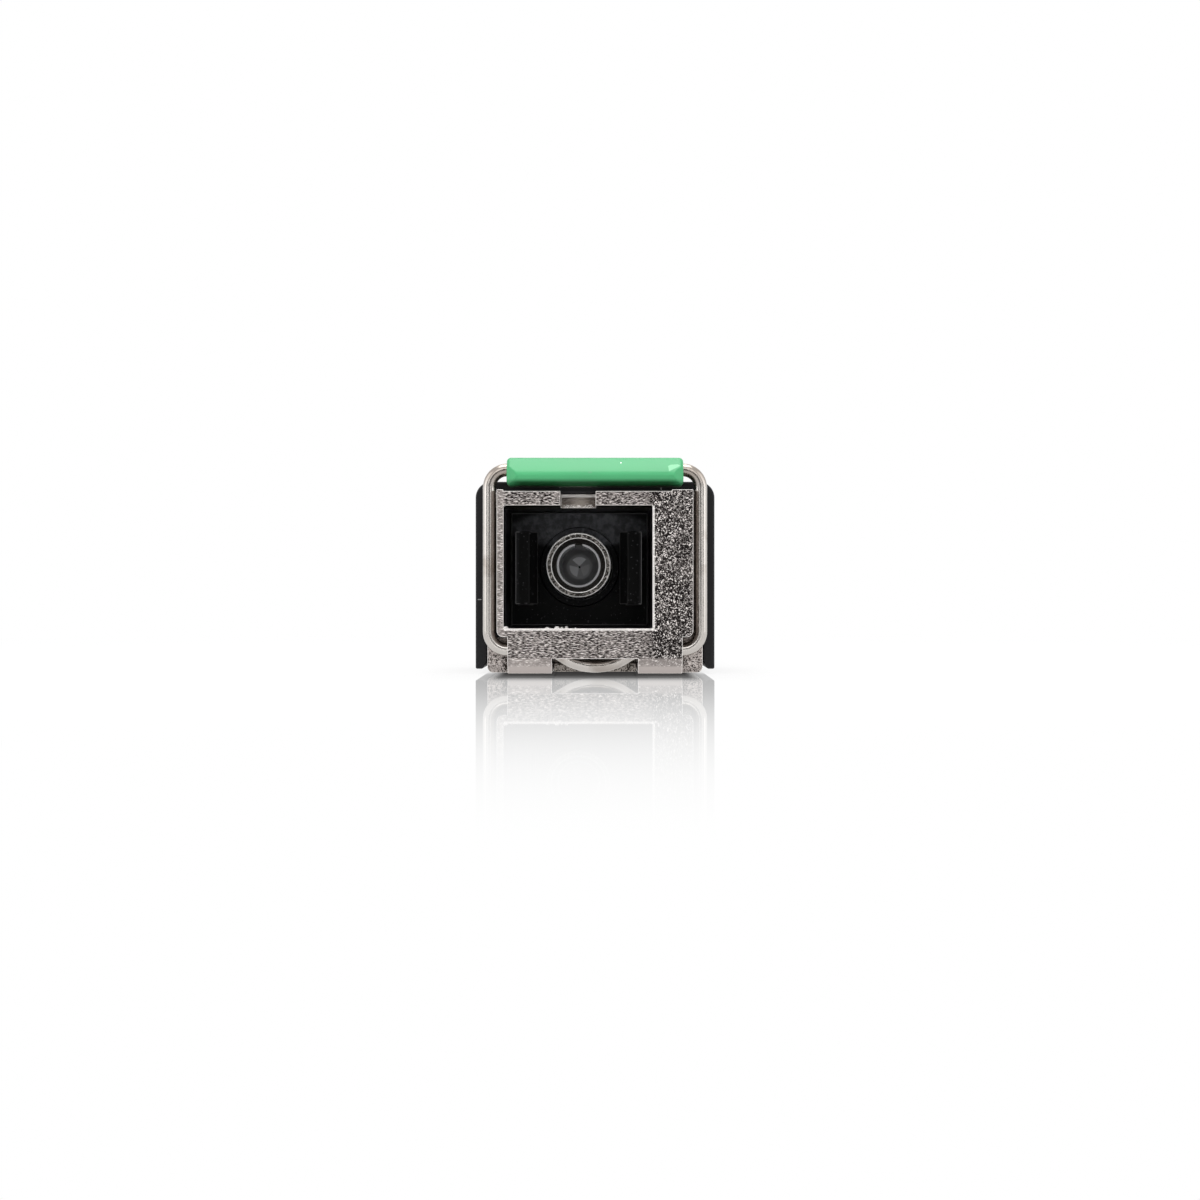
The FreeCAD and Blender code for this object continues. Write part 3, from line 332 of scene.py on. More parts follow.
@dataclass(frozen=True)
class CastZinc:
    """Nickel-plated zinc as it leaves the die: a coarse worm-like grain, painted highlights on its rims and
    painted brown shade in its recesses.

    Places and outlines are in millimetres. Depths count back from the front face. A step is the value where
    something starts and the value where it is full. An outline is left, right, low, high and its soft edge.
    """

    light: Colour = (0.54, 0.486, 0.462)
    peak: Colour = (0.93, 0.88, 0.85)
    dark: Colour = (0.012, 0.01, 0.01)
    rim: Colour = (0.98, 0.94, 0.91)
    recess_shade_colour: Colour = (0.20, 0.165, 0.14)
    nook_shade: Colour = (0.02, 0.015, 0.012)
    key_shade: Colour = (0.13, 0.11, 0.095)
    key_light: Colour = (0.5, 0.44, 0.39)
    worm_noise: tuple = (8000.0, 2.5, 1.5)
    worm_step: Step = (0.485, 0.69)
    streak_noise: tuple = (11200.0, 2.2, 0.6, (0.4, 1.0, 1.75))
    streak_step: Step = (0.435, 0.575)
    streak_least: float = 0.04
    streak_most: float = 0.62
    cloud_noise: tuple = (700.0, 2.0)
    cloud_share: float = 0.3
    glint_step: Step = (0.56, 0.67)
    column: Step = (3.0, 3.7)
    column_depth: Step = (1.2, 0.5)
    smooth_below: Step = (0.54, 0.36)
    smooth_share: float = 0.87
    lip_below: Step = (1.0, 0.85)
    left_wall: Step = (-5.4, -5.7)
    rear_depth: Step = (5.0, 6.0)
    foot_beside: Step = (5.4, 5.6)
    foot_below: Step = (1.9, 1.6)
    foot_depth: Step = (1.0, 1.5)
    foot_step: Step = (0.43, 0.53)
    bar: tuple = (-5.4, -2.1, 10.4, 11.3, 0.1)
    bar_drop: float = 0.06
    brim: tuple = (-5.6, 3.67, 2.64, 10.3, 0.02)
    brim_depth: Step = (0.13, 0.1)
    mouth: tuple = (-5.7, 3.62, 2.69, 10.41, 0.02)
    mouth_start: Step = (0.1, 0.16)
    mouth_end: Step = (2.4, 2.0)
    mouth_shade: float = 0.97
    # Strength of the painted brown shade in the recesses.
    darkening: float = 0.5
    recess_above: Step = (1.0, 1.3)
    recess_walls: Step = (0.12, 0.8)
    recess_back: Step = (0.7, 1.7)
    recess_end: Step = (12.0, 6.0)
    left_nook: tuple = ((-5.78, 1.0), (-5.34, 1.0), (-5.34, 0.12), (-5.7, 0.12))
    left_nook_soft: float = 0.08
    right_nook: tuple = (5.45, 5.78, 0.3, 0.85, 0.06)
    nook_depth: Step = (0.9, 1.2)
    nook_step: Step = (0.6, 0.5)
    key: tuple = (-2.2, 0.1, 10.3, 11.3, 0.05)
    key_line: tuple = (-2.2, 0.1, 11.0, 11.3, 0.03)
    key_foot: tuple = (-2.0, -0.1, 10.3, 10.52, 0.05)
    key_foot_step: Step = (0.46, 0.56)
    key_start: Step = (2.6, 3.3)
    key_end: Step = (4.2, 3.8)
    glow_middle: tuple = (-0.95, 3.5, 10.75)
    glow_reach: tuple = (0.5, 0.7, 0.5)
    glow_soft: float = 0.8

    def build(self, name: str) -> bpy.types.Material:
        """Return the finish."""
        kit = NodeKit.material(name)
        worms = kit.noise(*self.worm_noise)
        streaks = kit.noise(*self.streak_noise)
        depth = kit.depth()
        column = kit.part(Axis.ACROSS).between(*self.column) * depth.between(*self.column_depth)
        smooth = kit.part(Axis.UP).between(*self.smooth_below)
        rough = streaks + column * (worms - streaks)
        feet = self.feet(kit)
        share = self.brightness(kit, worms, streaks, column)
        share = share + smooth * (self.smooth_share - share)
        share = share + feet * (worms.between(*self.foot_step) - share)
        share = share - kit.window(*self.bar) * self.bar_drop
        colour = kit.mix(share, self.dark, self.light)
        glints = rough.between(*self.glint_step) * (1.0 - smooth) * (0.75 + column * 0.25)
        colour = kit.mix(glints, colour, self.peak)
        # Painted shade: walls and faces set back from the front face turn brown.
        colour = kit.mix(self.recess_shade(kit) * (1.0 - feet * 0.7), colour, self.recess_shade_colour)
        # Painted shade in the nooks beside the feet.
        colour = kit.mix(self.nooks(kit) * worms.between(*self.nook_step), colour, self.nook_shade)
        colour = self.key_slot(kit, worms, colour)
        shaded = kit.window(*self.mouth) * depth.between(*self.mouth_start)
        shaded = shaded * depth.between(*self.mouth_end)
        colour = kit.mix(shaded * self.mouth_shade, colour, self.dark)
        # Painted highlight: the rounded edges and a thin band round the mouth take the bright rim colour.
        brim = kit.window(*self.brim) * depth.between(*self.brim_depth)
        edge = kit.largest(kit.attribute(RIM), brim * (0.35 + worms * 0.7))
        return kit.finish({
            "Base Color": kit.mix(edge * 0.9, colour, self.rim),
            "Metallic": 1.0 - edge * 0.8,
            "Roughness": 0.45 - share * 0.15,
            "Normal": kit.bump(rough * (1.0 - smooth * 0.8), 0.7, 0.045),
        })

    def brightness(self, kit: NodeKit, worms: Value, streaks: Value, column: Value) -> Value:
        """Return the share of the light colour, which is higher on the lip, the left wall and the rear."""
        coarse = worms.between(*self.worm_step)
        soft = self.streak_least + streaks.between(*self.streak_step) * self.streak_most
        clouds = kit.noise(*self.cloud_noise)
        share = soft + column * (coarse - soft) + (clouds - 0.5) * self.cloud_share
        lip = kit.part(Axis.UP).between(*self.lip_below)
        left = kit.part(Axis.ACROSS).between(*self.left_wall)
        pale = kit.largest(left, kit.depth().between(*self.rear_depth))
        return share + kit.largest(lip * 0.55, pale * 0.3) * (0.9 - share)

    def feet(self, kit: NodeKit) -> Value:
        """Return 1 on the two low corners beside the front plate."""
        beside = kit.math("ABSOLUTE", kit.part(Axis.ACROSS), 0.0).between(*self.foot_beside)
        below = kit.part(Axis.UP).between(*self.foot_below)
        return beside * below * kit.depth().between(*self.foot_depth)

    def recess_shade(self, kit: NodeKit) -> Value:
        """Return how strongly painted brown shade darkens the recesses behind the front face."""
        depth = kit.depth()
        walls = depth.between(*self.recess_walls) * kit.part(Axis.UP).between(*self.recess_above)
        deep = kit.largest(walls, depth.between(*self.recess_back))
        return deep * depth.between(*self.recess_end) * self.darkening

    def nooks(self, kit: NodeKit) -> Value:
        """Return 1 in the nooks where the feet meet the front plate, which are painted dark as shade."""
        left = kit.patch(self.left_nook, self.left_nook_soft)
        right = kit.window(*self.right_nook)
        return kit.largest(left, right * 0.8) * kit.depth().between(*self.nook_depth)

    def key_slot(self, kit: NodeKit, worms: Value, colour: Value) -> Value:
        """Return the colour so far with the wall behind the key slot added: painted shade over the wall, a
        painted pool of light on it and painted highlights along its top edge and its foot.
        """
        depth = kit.depth()
        wall = depth.between(*self.key_start) * depth.between(*self.key_end)
        colour = kit.mix(kit.window(*self.key) * wall * 0.55, colour, self.key_shade)
        across, behind, up = self.glow_middle
        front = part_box("lower_housing")[0].y / MM
        glow = kit.spot((across, front + behind, up), self.glow_reach, self.glow_soft)
        colour = kit.mix(glow * 0.7, colour, self.key_light)
        foot = kit.window(*self.key_foot) * worms.between(*self.key_foot_step)
        line = kit.largest(kit.window(*self.key_line), foot) * 0.8
        return kit.mix(line * wall, colour, self.rim)


@dataclass(frozen=True)
class SliderZinc:
    """The slider's coarse zinc, with dark pits and a painted highlight on its rounded edges."""

    light: Colour = (0.36, 0.327, 0.298)
    dark: Colour = (0.03, 0.025, 0.02)
    edge_highlight: Colour = (0.5, 0.46, 0.42)
    grain: float = 7000.0

    def build(self, name: str) -> bpy.types.Material:
        """Return the finish."""
        kit = NodeKit.material(name)
        worms = kit.noise(self.grain, 2.5, 1.5)
        share = worms.between(0.42, 0.56)
        colour = kit.mix(share, self.dark, self.light)
        return kit.finish({
            "Base Color": kit.mix(kit.attribute(RIM) * 0.3, colour, self.edge_highlight),
            "Metallic": 1.0,
            "Roughness": 0.45 - share * 0.1,
            "Normal": kit.bump(worms, 0.6, 0.045),
        })


@dataclass(frozen=True)
class SatinMetal:
    """A drawn, rolled or turned metal with fine lines along one direction and a little tarnish, and where
    asked painted shade over its top.
    """

    bright: Colour
    tarnish: Colour
    roughness: float
    lines: tuple = EVEN
    tarnish_share: float = 0.3
    top_shade_from: float = 0.0
    top_shade_over: float = 1.2
    metallic: float = 1.0

    def build(self, name: str) -> bpy.types.Material:
        """Return the finish."""
        kit = NodeKit.material(name)
        lines = kit.noise(2600.0, 2.0, 0.0, self.lines)
        clouds = kit.noise(420.0, 3.0, 0.4)
        darkening = clouds.between(0.5, 0.72) * self.tarnish_share
        # Painted shade over the top: above a given height the colour turns towards the tarnish colour.
        if self.top_shade_from:
            top_shade = kit.part(Axis.UP).between(self.top_shade_from, self.top_shade_from + self.top_shade_over)
            darkening = kit.largest(darkening, top_shade * 0.75)
        return kit.finish({
            "Base Color": kit.mix(darkening, self.bright, self.tarnish),
            "Metallic": self.metallic,
            "Roughness": self.roughness - 0.06 + lines * 0.12,
            "Normal": kit.bump(lines, 0.12, 0.01),
        })


@dataclass(frozen=True)
class MouldedPlastic:
    """A moulded plastic with a fine skin grain and faint clouds in its colour.

    Scuffs, painted shade and the patchy painted sheen are spots: middle, reach, share and colour.
    """

    colour: Colour
    roughness: float
    grain: float = 9000.0
    relief: float = 0.15
    gloss: float = 0.5
    edge_shine: float = 0.0
    dust: float = 0.0
    dust_colour: Colour = (0.3, 0.3, 0.32)
    sheen: tuple = ()
    scuffs_and_shades: tuple = ()

    def build(self, name: str) -> bpy.types.Material:
        """Return the finish."""
        kit = NodeKit.material(name)
        grain = kit.noise(self.grain, 2.0)
        clouds = kit.noise(500.0, 2.0)
        # Painted highlight on the rounded edges: a brighter copy of the colour.
        edge_highlight = tuple(part * 2.5 + self.edge_shine for part in self.colour)
        colour = kit.cloudy(clouds, self.colour, 0.8)
        colour = kit.mix(kit.attribute(RIM) * 0.8, colour, edge_highlight)
        # Painted sheen, broken into soft patches.
        for centre, reach, share, tint in self.sheen:
            sheen_patches = 0.4 + kit.noise(2800.0, 5.0, 0.2).between(0.36, 0.72) * 0.6
            colour = kit.mix(kit.spot(centre, reach) * sheen_patches * share, colour, tint)
        for centre, reach, share, tint in self.scuffs_and_shades:
            colour = kit.mix(kit.spot(centre, reach) * share, colour, tint)
        if self.dust:
            specks = kit.noise(5200.0, 3.0).between(0.63, 0.72) * self.dust
            colour = kit.mix(specks, colour, self.dust_colour)
        return kit.finish({
            "Base Color": colour,
            "Roughness": self.roughness + (clouds - 0.5) * 0.15,
            "Specular IOR Level": self.gloss,
            "Normal": kit.bump(grain, self.relief, 0.01),
        })


@dataclass(frozen=True)
class GripPlastic:
    """The grip's green plastic, darker below, with a pale scuff, a speck and a faint mark."""

    colour: Colour = (0.062, 0.42, 0.165)
    pale: Colour = (0.34, 0.78, 0.46)
    shadow: Colour = (0.004, 0.05, 0.012)
    faded: Colour = (0.12, 0.30, 0.18)
    bright: Colour = (0.9, 0.95, 0.92)
    under: Step = (12.04, 11.72)
    ends: Step = (4.5, 5.4)
    scuff: tuple = ((4.5, 12.77), (4.67, 12.85), (5.11, 12.88), (5.26, 12.78), (4.55, 12.42))
    scuff_soft: float = 0.03
    scuff_along: Step = (-32.6, -32.8)
    speck: tuple = ((1.6, -33.4, 12.98), (0.045, 0.6, 0.045))
    mark: tuple = ((-0.3, -33.4, 12.35), (0.16, 0.6, 0.08))

    def build(self, name: str) -> bpy.types.Material:
        """Return the finish."""
        kit = NodeKit.material(name)
        clouds = kit.noise(300.0, 2.0)
        body = kit.cloudy(clouds, self.colour, 0.85)
        ends = kit.math("ABSOLUTE", kit.part(Axis.ACROSS), 0.0).between(*self.ends)
        under = kit.part(Axis.UP).between(*self.under) * (1.0 - ends * 0.45)
        body = kit.mix(under * 0.96, body, self.shadow)
        scuff = kit.patch(self.scuff, self.scuff_soft)
        scuff = scuff * kit.part(Axis.ALONG).between(*self.scuff_along)
        body = kit.mix(scuff * 0.55, body, self.pale)
        body = kit.mix(kit.spot(*self.mark) * 0.35, body, self.faded)
        return kit.finish({
            "Base Color": kit.mix(kit.spot(*self.speck), body, self.bright),
            "Roughness": 0.38 + (clouds - 0.5) * 0.1,
            "Specular IOR Level": 0.42,
            "Normal": kit.bump(kit.noise(7000.0, 2.0), 0.1, 0.01),
        })


@dataclass(frozen=True)
class Ceramic:
    """Polished zirconia, a little translucent grey."""

    colour: Colour
    roughness: float = 0.12

    def build(self, name: str) -> bpy.types.Material:
        """Return the finish."""
        kit = NodeKit.material(name)
        clouds = kit.noise(1200.0, 2.0)
        return kit.finish({
            "Base Color": kit.cloudy(clouds, self.colour, 0.85),
            "Roughness": self.roughness + clouds * 0.05,
        })


@dataclass(frozen=True)
class TurnedSteel:
    """Turned steel with a mottled end face, painted highlights on its corners and painted shade in its
    bore.
    """

    light: Colour = (0.3, 0.28, 0.262)
    dark: Colour = (0.02, 0.018, 0.016)
    rim: Colour = (0.9, 0.89, 0.87)
    bore_shade: Colour = (0.09, 0.08, 0.07)
    bore_step: Step = (1.67, 1.61)
    lip_step: Step = (1.75, 1.71)
    corner_step: Step = (1.94, 1.99)

    def build(self, name: str) -> bpy.types.Material:
        """Return the finish."""
        kit = NodeKit.material(name)
        mottle = kit.noise(6000.0, 3.0, 0.8)
        share = mottle.between(0.46, 0.66)
        colour = kit.mix(share, self.dark, self.light)
        reach = kit.reach(socket_axis())
        inside = reach.between(*self.bore_step)
        # Painted shade inside the bore.
        colour = kit.mix(inside * 0.85, colour, self.bore_shade)
        lip = reach.between(*self.lip_step) * (1.0 - inside)
        # Painted highlight on the outer corner and the lip of the end face.
        edge = kit.attribute(RIM) * kit.largest(reach.between(*self.corner_step), lip)
        return kit.finish({
            "Base Color": kit.mix(edge * 0.9, colour, self.rim),
            "Metallic": 1.0,
            "Roughness": 0.5 - share * 0.1,
            "Normal": kit.bump(mottle, 0.5, 0.03),
        })


@dataclass(frozen=True)
class StubFace:
    """The stub's polished grey ceramic, with three pale patches round the fibre that are painted
    reflections.

    A painted reflection is its direction in degrees, half its angle in degrees and its share.
    """

    colour: Colour = (0.4, 0.4, 0.41)
    pale: Colour = (0.85, 0.86, 0.88)
    patch_step: Step = (0.7, 0.62)
    face_step: Step = (0.1, 0.02)
    side_soft: float = 0.05
    reflections: tuple = ((93.0, 46.0, 1.0), (213.0, 46.0, 0.75), (335.0, 45.0, 0.25))

    def build(self, name: str) -> bpy.types.Material:
        """Return the finish."""
        kit = NodeKit.material(name)
        clouds = kit.noise(1500.0, 2.0)
        colour = kit.cloudy(clouds, self.colour, 0.8)
        centre = socket_axis()
        across = kit.part(Axis.ACROSS, centre.x)
        up = kit.part(Axis.UP, centre.z)
        reach = kit.reach(centre)
        face = kit.part(Axis.ALONG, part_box("fiber_stub")[0].y).between(*self.face_step)
        inside = reach.between(*self.patch_step) * face
        for degrees, width, share in self.reflections:
            turn = math.radians(degrees)
            ahead = across * math.cos(turn) + up * math.sin(turn)
            sector = (ahead - reach * math.cos(math.radians(width))).between(0.0, self.side_soft)
            colour = kit.mix(sector * inside * share, colour, self.pale)
        return kit.finish({"Base Color": colour, "Roughness": 0.15 + clouds * 0.05})


@dataclass(frozen=True)
class SolderMask:
    """A circuit board's green mask over faint copper lines."""

    mask: Colour = (0.015, 0.12, 0.05)
    trace: Colour = (0.03, 0.2, 0.08)

    def build(self, name: str) -> bpy.types.Material:
        """Return the finish."""
        kit = NodeKit.material(name)
        lines = kit.noise(900.0, 0.0, 0.0, (1.0, 0.12, 1.0)).between(0.5, 0.54)
        return kit.finish({
            "Base Color": kit.mix(lines, self.mask, self.trace),
            "Roughness": 0.3 + lines * 0.08,
            "Normal": kit.bump(lines, 0.3, 0.02),
        })


class Workshop:
    """Turns CAD nodes into softened pieces and hands out finishes."""

    crease = 50.0
    same_place = 0.0005
    same_plane = 0.5

    def __init__(self) -> None:
        """Start with no finish made."""
        self.made: dict[str, bpy.types.Material] = {}

    def finish(self, name: str, recipe: Any) -> bpy.types.Material:
        """Return the finish of that name, which its recipe builds once."""
        if name not in self.made:
            self.made[name] = recipe.build(name)
        return self.made[name]

    def paint(self, node: str, material: bpy.types.Material) -> None:
        """Give a CAD node that stays as it is its finish."""
        thing = frame["nodes"][node]
        thing.data.materials.clear()
        thing.data.materials.append(material)
        LOG.info("painted %s", node)

    def soften(self, node: str, material: bpy.types.Material, width: float = 0.0, sharp: float = 30.0,
               segments: int = 2) -> bpy.types.Object:
        """Replace a CAD node by a copy with smooth curves and rounded edges.

        Args:
            node: The CAD node.
            material: The piece's finish.
            width: The width of the rounding in millimetres, or 0 for none.
            sharp: The angle in degrees past which an edge counts as sharp.
            segments: How many faces cross the rounding.

        Returns:
            The piece.
        """
        source = frame["nodes"][node]
        mesh = bmesh.new()
        mesh.from_mesh(source.data)
        bmesh.ops.remove_doubles(mesh, verts=mesh.verts, dist=self.same_place * MM)
        limit = math.radians(self.same_plane)
        bmesh.ops.dissolve_limit(mesh, angle_limit=limit, verts=mesh.verts, edges=mesh.edges)
        # The rounded edges get the rim mark, which the finishes paint as a highlight.
        rim = mesh.faces.layers.float.new(RIM)
        if width:
            edges = [edge for edge in mesh.edges
                     if edge.is_manifold and edge.calc_face_angle(0.0) > math.radians(sharp)]
            made = bmesh.ops.bevel(
                mesh, geom=edges, offset=width * MM, offset_type="OFFSET", affect="EDGES",
                segments=segments, profile=0.5, material=-1, clamp_overlap=True,
            )
            for face in made["faces"]:
                face[rim] = 1.0
        return self.settle(mesh, node + "_piece", material, node, sharp)

    def level(self, data: bpy.types.Mesh, sharp: float) -> None:
        """Give each corner the mean normal of the faces round it, by area, so that flat faces look flat.

        Args:
            data: The piece's mesh.
            sharp: The angle in degrees past which faces keep their own normals.
        """
        limit = math.cos(math.radians(sharp))
        around: list[list] = [[] for _ in data.vertices]
        for face in data.polygons:
            for vertex in face.vertices:
                around[vertex].append((face.normal.copy(), face.area))
        normals = []
        for face in data.polygons:
            for vertex in face.vertices:
                total = Vector()
                for normal, area in around[vertex]:
                    if normal.dot(face.normal) > limit:
                        total += normal * area
                normals.append(total.normalized())
        data.normals_split_custom_set(normals)

    def settle(self, mesh: bmesh.types.BMesh, name: str, material: bpy.types.Material, node: str,
               sharp: float = 30.0, replace: bool = True) -> bpy.types.Object:
        """Make a finished piece of a mesh.

        Args:
            mesh: The mesh, which is used up.
            name: The piece's name.
            material: Its finish.
            node: The CAD node whose body the piece takes.
            sharp: The angle in degrees past which an edge stays sharp.
            replace: Whether the piece stands for the node.

        Returns:
            The piece.
        """
        data = bpy.data.meshes.new(name)
        mesh.to_mesh(data)
        mesh.free()
        data.shade_smooth()
        self.level(data, max(sharp, self.crease))
        data.materials.append(material)
        piece = bpy.data.objects.new(name, data)
        bpy.context.scene.collection.objects.link(piece)
        bodies = frame["record"]["behaviour"]["bodies"]
        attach(piece, next(body for body, nodes in bodies.items() if node in nodes))
        if replace:
            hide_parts(node)
        LOG.info("made %s with %d faces", name, len(data.polygons))
        return piece


@dataclass
class CastBody:
    """The die-cast housing and the flakes that the die left on its mouth."""

    shop: Workshop
    edge: float = 0.1
    flake: float = 0.22
    flake_depth: float = 0.46
    flake_sides: int = 5
    flake_taper: float = 0.3
    flake_height: float = 0.9
    flake_stretch: tuple = (1.5, 0.7, 1.0, 1.0)
    lining_wall: float = 0.5
    flakes: tuple = ((-2.95, 0.7), (-2.35, 1.2), (-2.05, 0.9), (-1.75, 1.3), (-1.2, 0.6), (-5.5, 1.3))

    def build(self) -> None:
        """Make the body and its flakes."""
        zinc = self.shop.finish("cast_zinc", CastZinc())
        self.shop.soften("lower_housing", zinc, self.edge)
        self.build_flakes(zinc)

    def build_flakes(self, zinc: bpy.types.Material) -> None:
        """Make the thin flakes that stand on the mouth's lower edge, in the body's finish."""
        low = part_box("sc_housing")[0]
        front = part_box("lower_housing")[0].y
        floor = low.z + self.lining_wall * MM
        mesh = bmesh.new()
        for across, size in self.flakes:
            reach = self.flake * size * MM
            place = Vector((across * MM, front + self.flake_depth * MM, floor))
            made = bmesh.ops.create_cone(
                mesh, cap_ends=True, segments=self.flake_sides, radius1=reach,
                radius2=reach * self.flake_taper, depth=reach * self.flake_height,
            )
            turn = Matrix.Rotation(across, 4, "Z") @ Matrix.Diagonal(self.flake_stretch)
            bmesh.ops.transform(mesh, matrix=Matrix.Translation(place) @ turn, verts=made["verts"])
        # Painted highlight: every flake face gets the rim mark, so the zinc finish paints it in its bright
        # rim colour.
        rim = mesh.faces.layers.float.new(RIM)
        for face in mesh.faces:
            face[rim] = 1.0
        self.shop.settle(mesh, "mouth_flakes", zinc, "lower_housing", replace=False)


@dataclass
class BailLatch:
    """The bail's wire and grip, and the slider and spring that it drives."""

    shop: Workshop
    grip_edge: float = 0.07
    slider_edge: float = 0.04
    travel: str = "slider_travel"
    coil_wire: float = 0.08
    coil_sides: int = 8
    coil_turns: int = 6
    coil_steps: int = 20

    def build(self) -> None:
        """Make the latch's pieces."""
        nickel = SatinMetal((0.54, 0.51, 0.48), (0.28, 0.235, 0.2), 0.22, (1.0, 1.0, 0.1), 0.6, 11.2)
        self.shop.soften("bail_wire", self.shop.finish("satin_nickel", nickel), sharp=50.0)
        self.shop.soften("bail_grip", self.shop.finish("grip_plastic", GripPlastic()), self.grip_edge)
        self.shop.soften("release_slider", self.shop.finish("slider_zinc", SliderZinc()), self.slider_edge)
        self.build_spring()

    def build_spring(self) -> None:
        """Make the coil spring in round wire, in the space of its CAD node."""
        low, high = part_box("slider_spring")
        middle = (low + high) / 2
        wire = self.coil_wire * MM
        radius = (high.x - low.x) / 2 - wire
        mesh = bmesh.new()
        start = Vector((middle.x, low.y + wire, middle.z + radius))
        ring = bmesh.ops.create_circle(mesh, cap_ends=False, segments=self.coil_sides, radius=wire)
        upright = Matrix.Translation(start) @ Matrix.Rotation(math.pi / 2, 4, "Y")
        bmesh.ops.transform(mesh, matrix=upright, verts=ring["verts"])
        steps = self.coil_turns * self.coil_steps
        rise = (high.y - low.y - 2 * wire) / steps
        bmesh.ops.spin(
            mesh, geom=mesh.verts[:] + mesh.edges[:], cent=middle, axis=(0, 1, 0), dvec=(0, rise, 0),
            angle=2 * math.pi * self.coil_turns, steps=steps, use_merge=False,
        )
        bmesh.ops.holes_fill(mesh, edges=mesh.edges, sides=self.coil_sides)
        bmesh.ops.recalc_face_normals(mesh, faces=mesh.faces)
        steel = self.shop.finish("spring_steel", SatinMetal((0.7, 0.68, 0.64), (0.5, 0.45, 0.4), 0.25))
        spring = self.shop.settle(mesh, "slider_spring_piece", steel, "slider_spring")
        joints = frame["record"]["behaviour"]["joints"]
        slide = next(joint for joint in joints if joint["name"] == self.travel)
        end = slide["deforming_nodes"][0]["fixed_end_y_m"]
        keep = 1.0 - slide["range_m"][1] / (end - low.y)
        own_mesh(spring)


@dataclass
class FibreSocket:
    """The black lining of the socket and the sleeve in its middle."""

    shop: Workshop
    lining_edge: float = 0.06
    barrel_edge: float = 0.04
    sleeve_edge: float = 0.03
    fibre: float = 0.07
    fibre_depth: float = 0.02
    fibre_sides: int = 20
    plate: float = 0.62
    ring_inner: float = 2.2
    ring_outer: float = 2.65
    ring_rise: float = 0.35
    ring_slope: float = 0.1
    ring_steps: int = 48
    sheen: tuple = ((-1.0, -25.0, 9.2), (4.4, 3.4, 1.2), 0.9, (0.19, 0.194, 0.212))
    arm_shade: Colour = (0.002, 0.002, 0.002)
    arm_middle: float = 6.7

    def arm_shades(self) -> tuple:
        """Return the painted shade on the inner sides and the tips of the latch arms."""
        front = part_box("sc_hooks")[0].y / MM
        inner = ((-4.24, 2.16), front + 0.8, (0.68, 1.6, 5.0), 0.65)
        tips = ((-4.38, 2.4), front, (0.42, 0.15, 5.0), 0.92)
        return tuple(
            ((side, along, self.arm_middle), reach, share, self.arm_shade)
            for sides, along, reach, share in (inner, tips)
            for side in sides
        )

    def build(self) -> None:
        """Make the lining, the barrel, the sleeve and the stub."""
        black = MouldedPlastic(
            (0.03, 0.03, 0.031), 0.3, gloss=0.25, edge_shine=0.05, sheen=(self.sheen,),
        )
        lining = self.shop.finish("socket_black", black)
        self.shop.soften("sc_housing", lining, self.lining_edge)
        arms = MouldedPlastic(
            (0.012, 0.012, 0.0125), 0.35, gloss=0.06, edge_shine=0.16, dust=0.2,
            sheen=(self.sheen,), scuffs_and_shades=self.arm_shades(),
        )
        hooks = self.shop.finish("hook_black", arms)
        self.shop.soften("sc_hooks", hooks, self.lining_edge)
        self.build_ring(hooks)
        turned = self.shop.finish("turned_steel", TurnedSteel())
        self.shop.soften("sleeve_holder", turned, self.barrel_edge)
        sleeve = self.shop.finish("sleeve_ceramic", Ceramic((0.42, 0.42, 0.43), 0.3))
        self.shop.soften("split_sleeve", sleeve, self.sleeve_edge)
        self.shop.soften("fiber_stub", self.shop.finish("stub_ceramic", StubFace()))
        self.build_fibre()

    def build_ring(self, black: bpy.types.Material) -> None:
        """Make the low step round the barrel on the socket's back wall, in the wall's finish."""
        low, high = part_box("split_sleeve")
        middle = (low + high) / 2
        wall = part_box("sc_hooks")[1].y - self.plate * MM
        outline = (
            (self.ring_inner, 0.0),
            (self.ring_outer, 0.0),
            (self.ring_outer - self.ring_slope, -self.ring_rise),
            (self.ring_inner, -self.ring_rise),
        )
        mesh = bmesh.new()
        corners = []
        for reach, along in outline:
            corners.append(mesh.verts.new((middle.x, wall + along * MM, middle.z + reach * MM)))
        edges = [mesh.edges.new(pair) for pair in zip(corners, corners[1:] + corners[:1])]
        bmesh.ops.spin(
            mesh, geom=corners + edges, cent=middle, axis=(0, 1, 0), dvec=(0, 0, 0),
            angle=2 * math.pi, steps=self.ring_steps, use_merge=True,
        )
        bmesh.ops.recalc_face_normals(mesh, faces=mesh.faces)
        self.shop.settle(mesh, "barrel_step", black, "sc_hooks", replace=False)

    def build_fibre(self) -> None:
        """Make the fibre's end, a small dark disc on the stub's face."""
        low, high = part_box("fiber_stub")
        middle = (low + high) / 2
        mesh = bmesh.new()
        made = bmesh.ops.create_cone(
            mesh, cap_ends=True, segments=self.fibre_sides, radius1=self.fibre * MM,
            radius2=self.fibre * MM, depth=self.fibre_depth * MM,
        )
        place = Matrix.Translation((middle.x, low.y, middle.z)) @ Matrix.Rotation(math.pi / 2, 4, "X")
        bmesh.ops.transform(mesh, matrix=place, verts=made["verts"])
        glass = self.shop.finish("fibre_end", Ceramic((0.01, 0.01, 0.012)))
        self.shop.settle(mesh, "fibre_end", glass, "fiber_stub", replace=False)


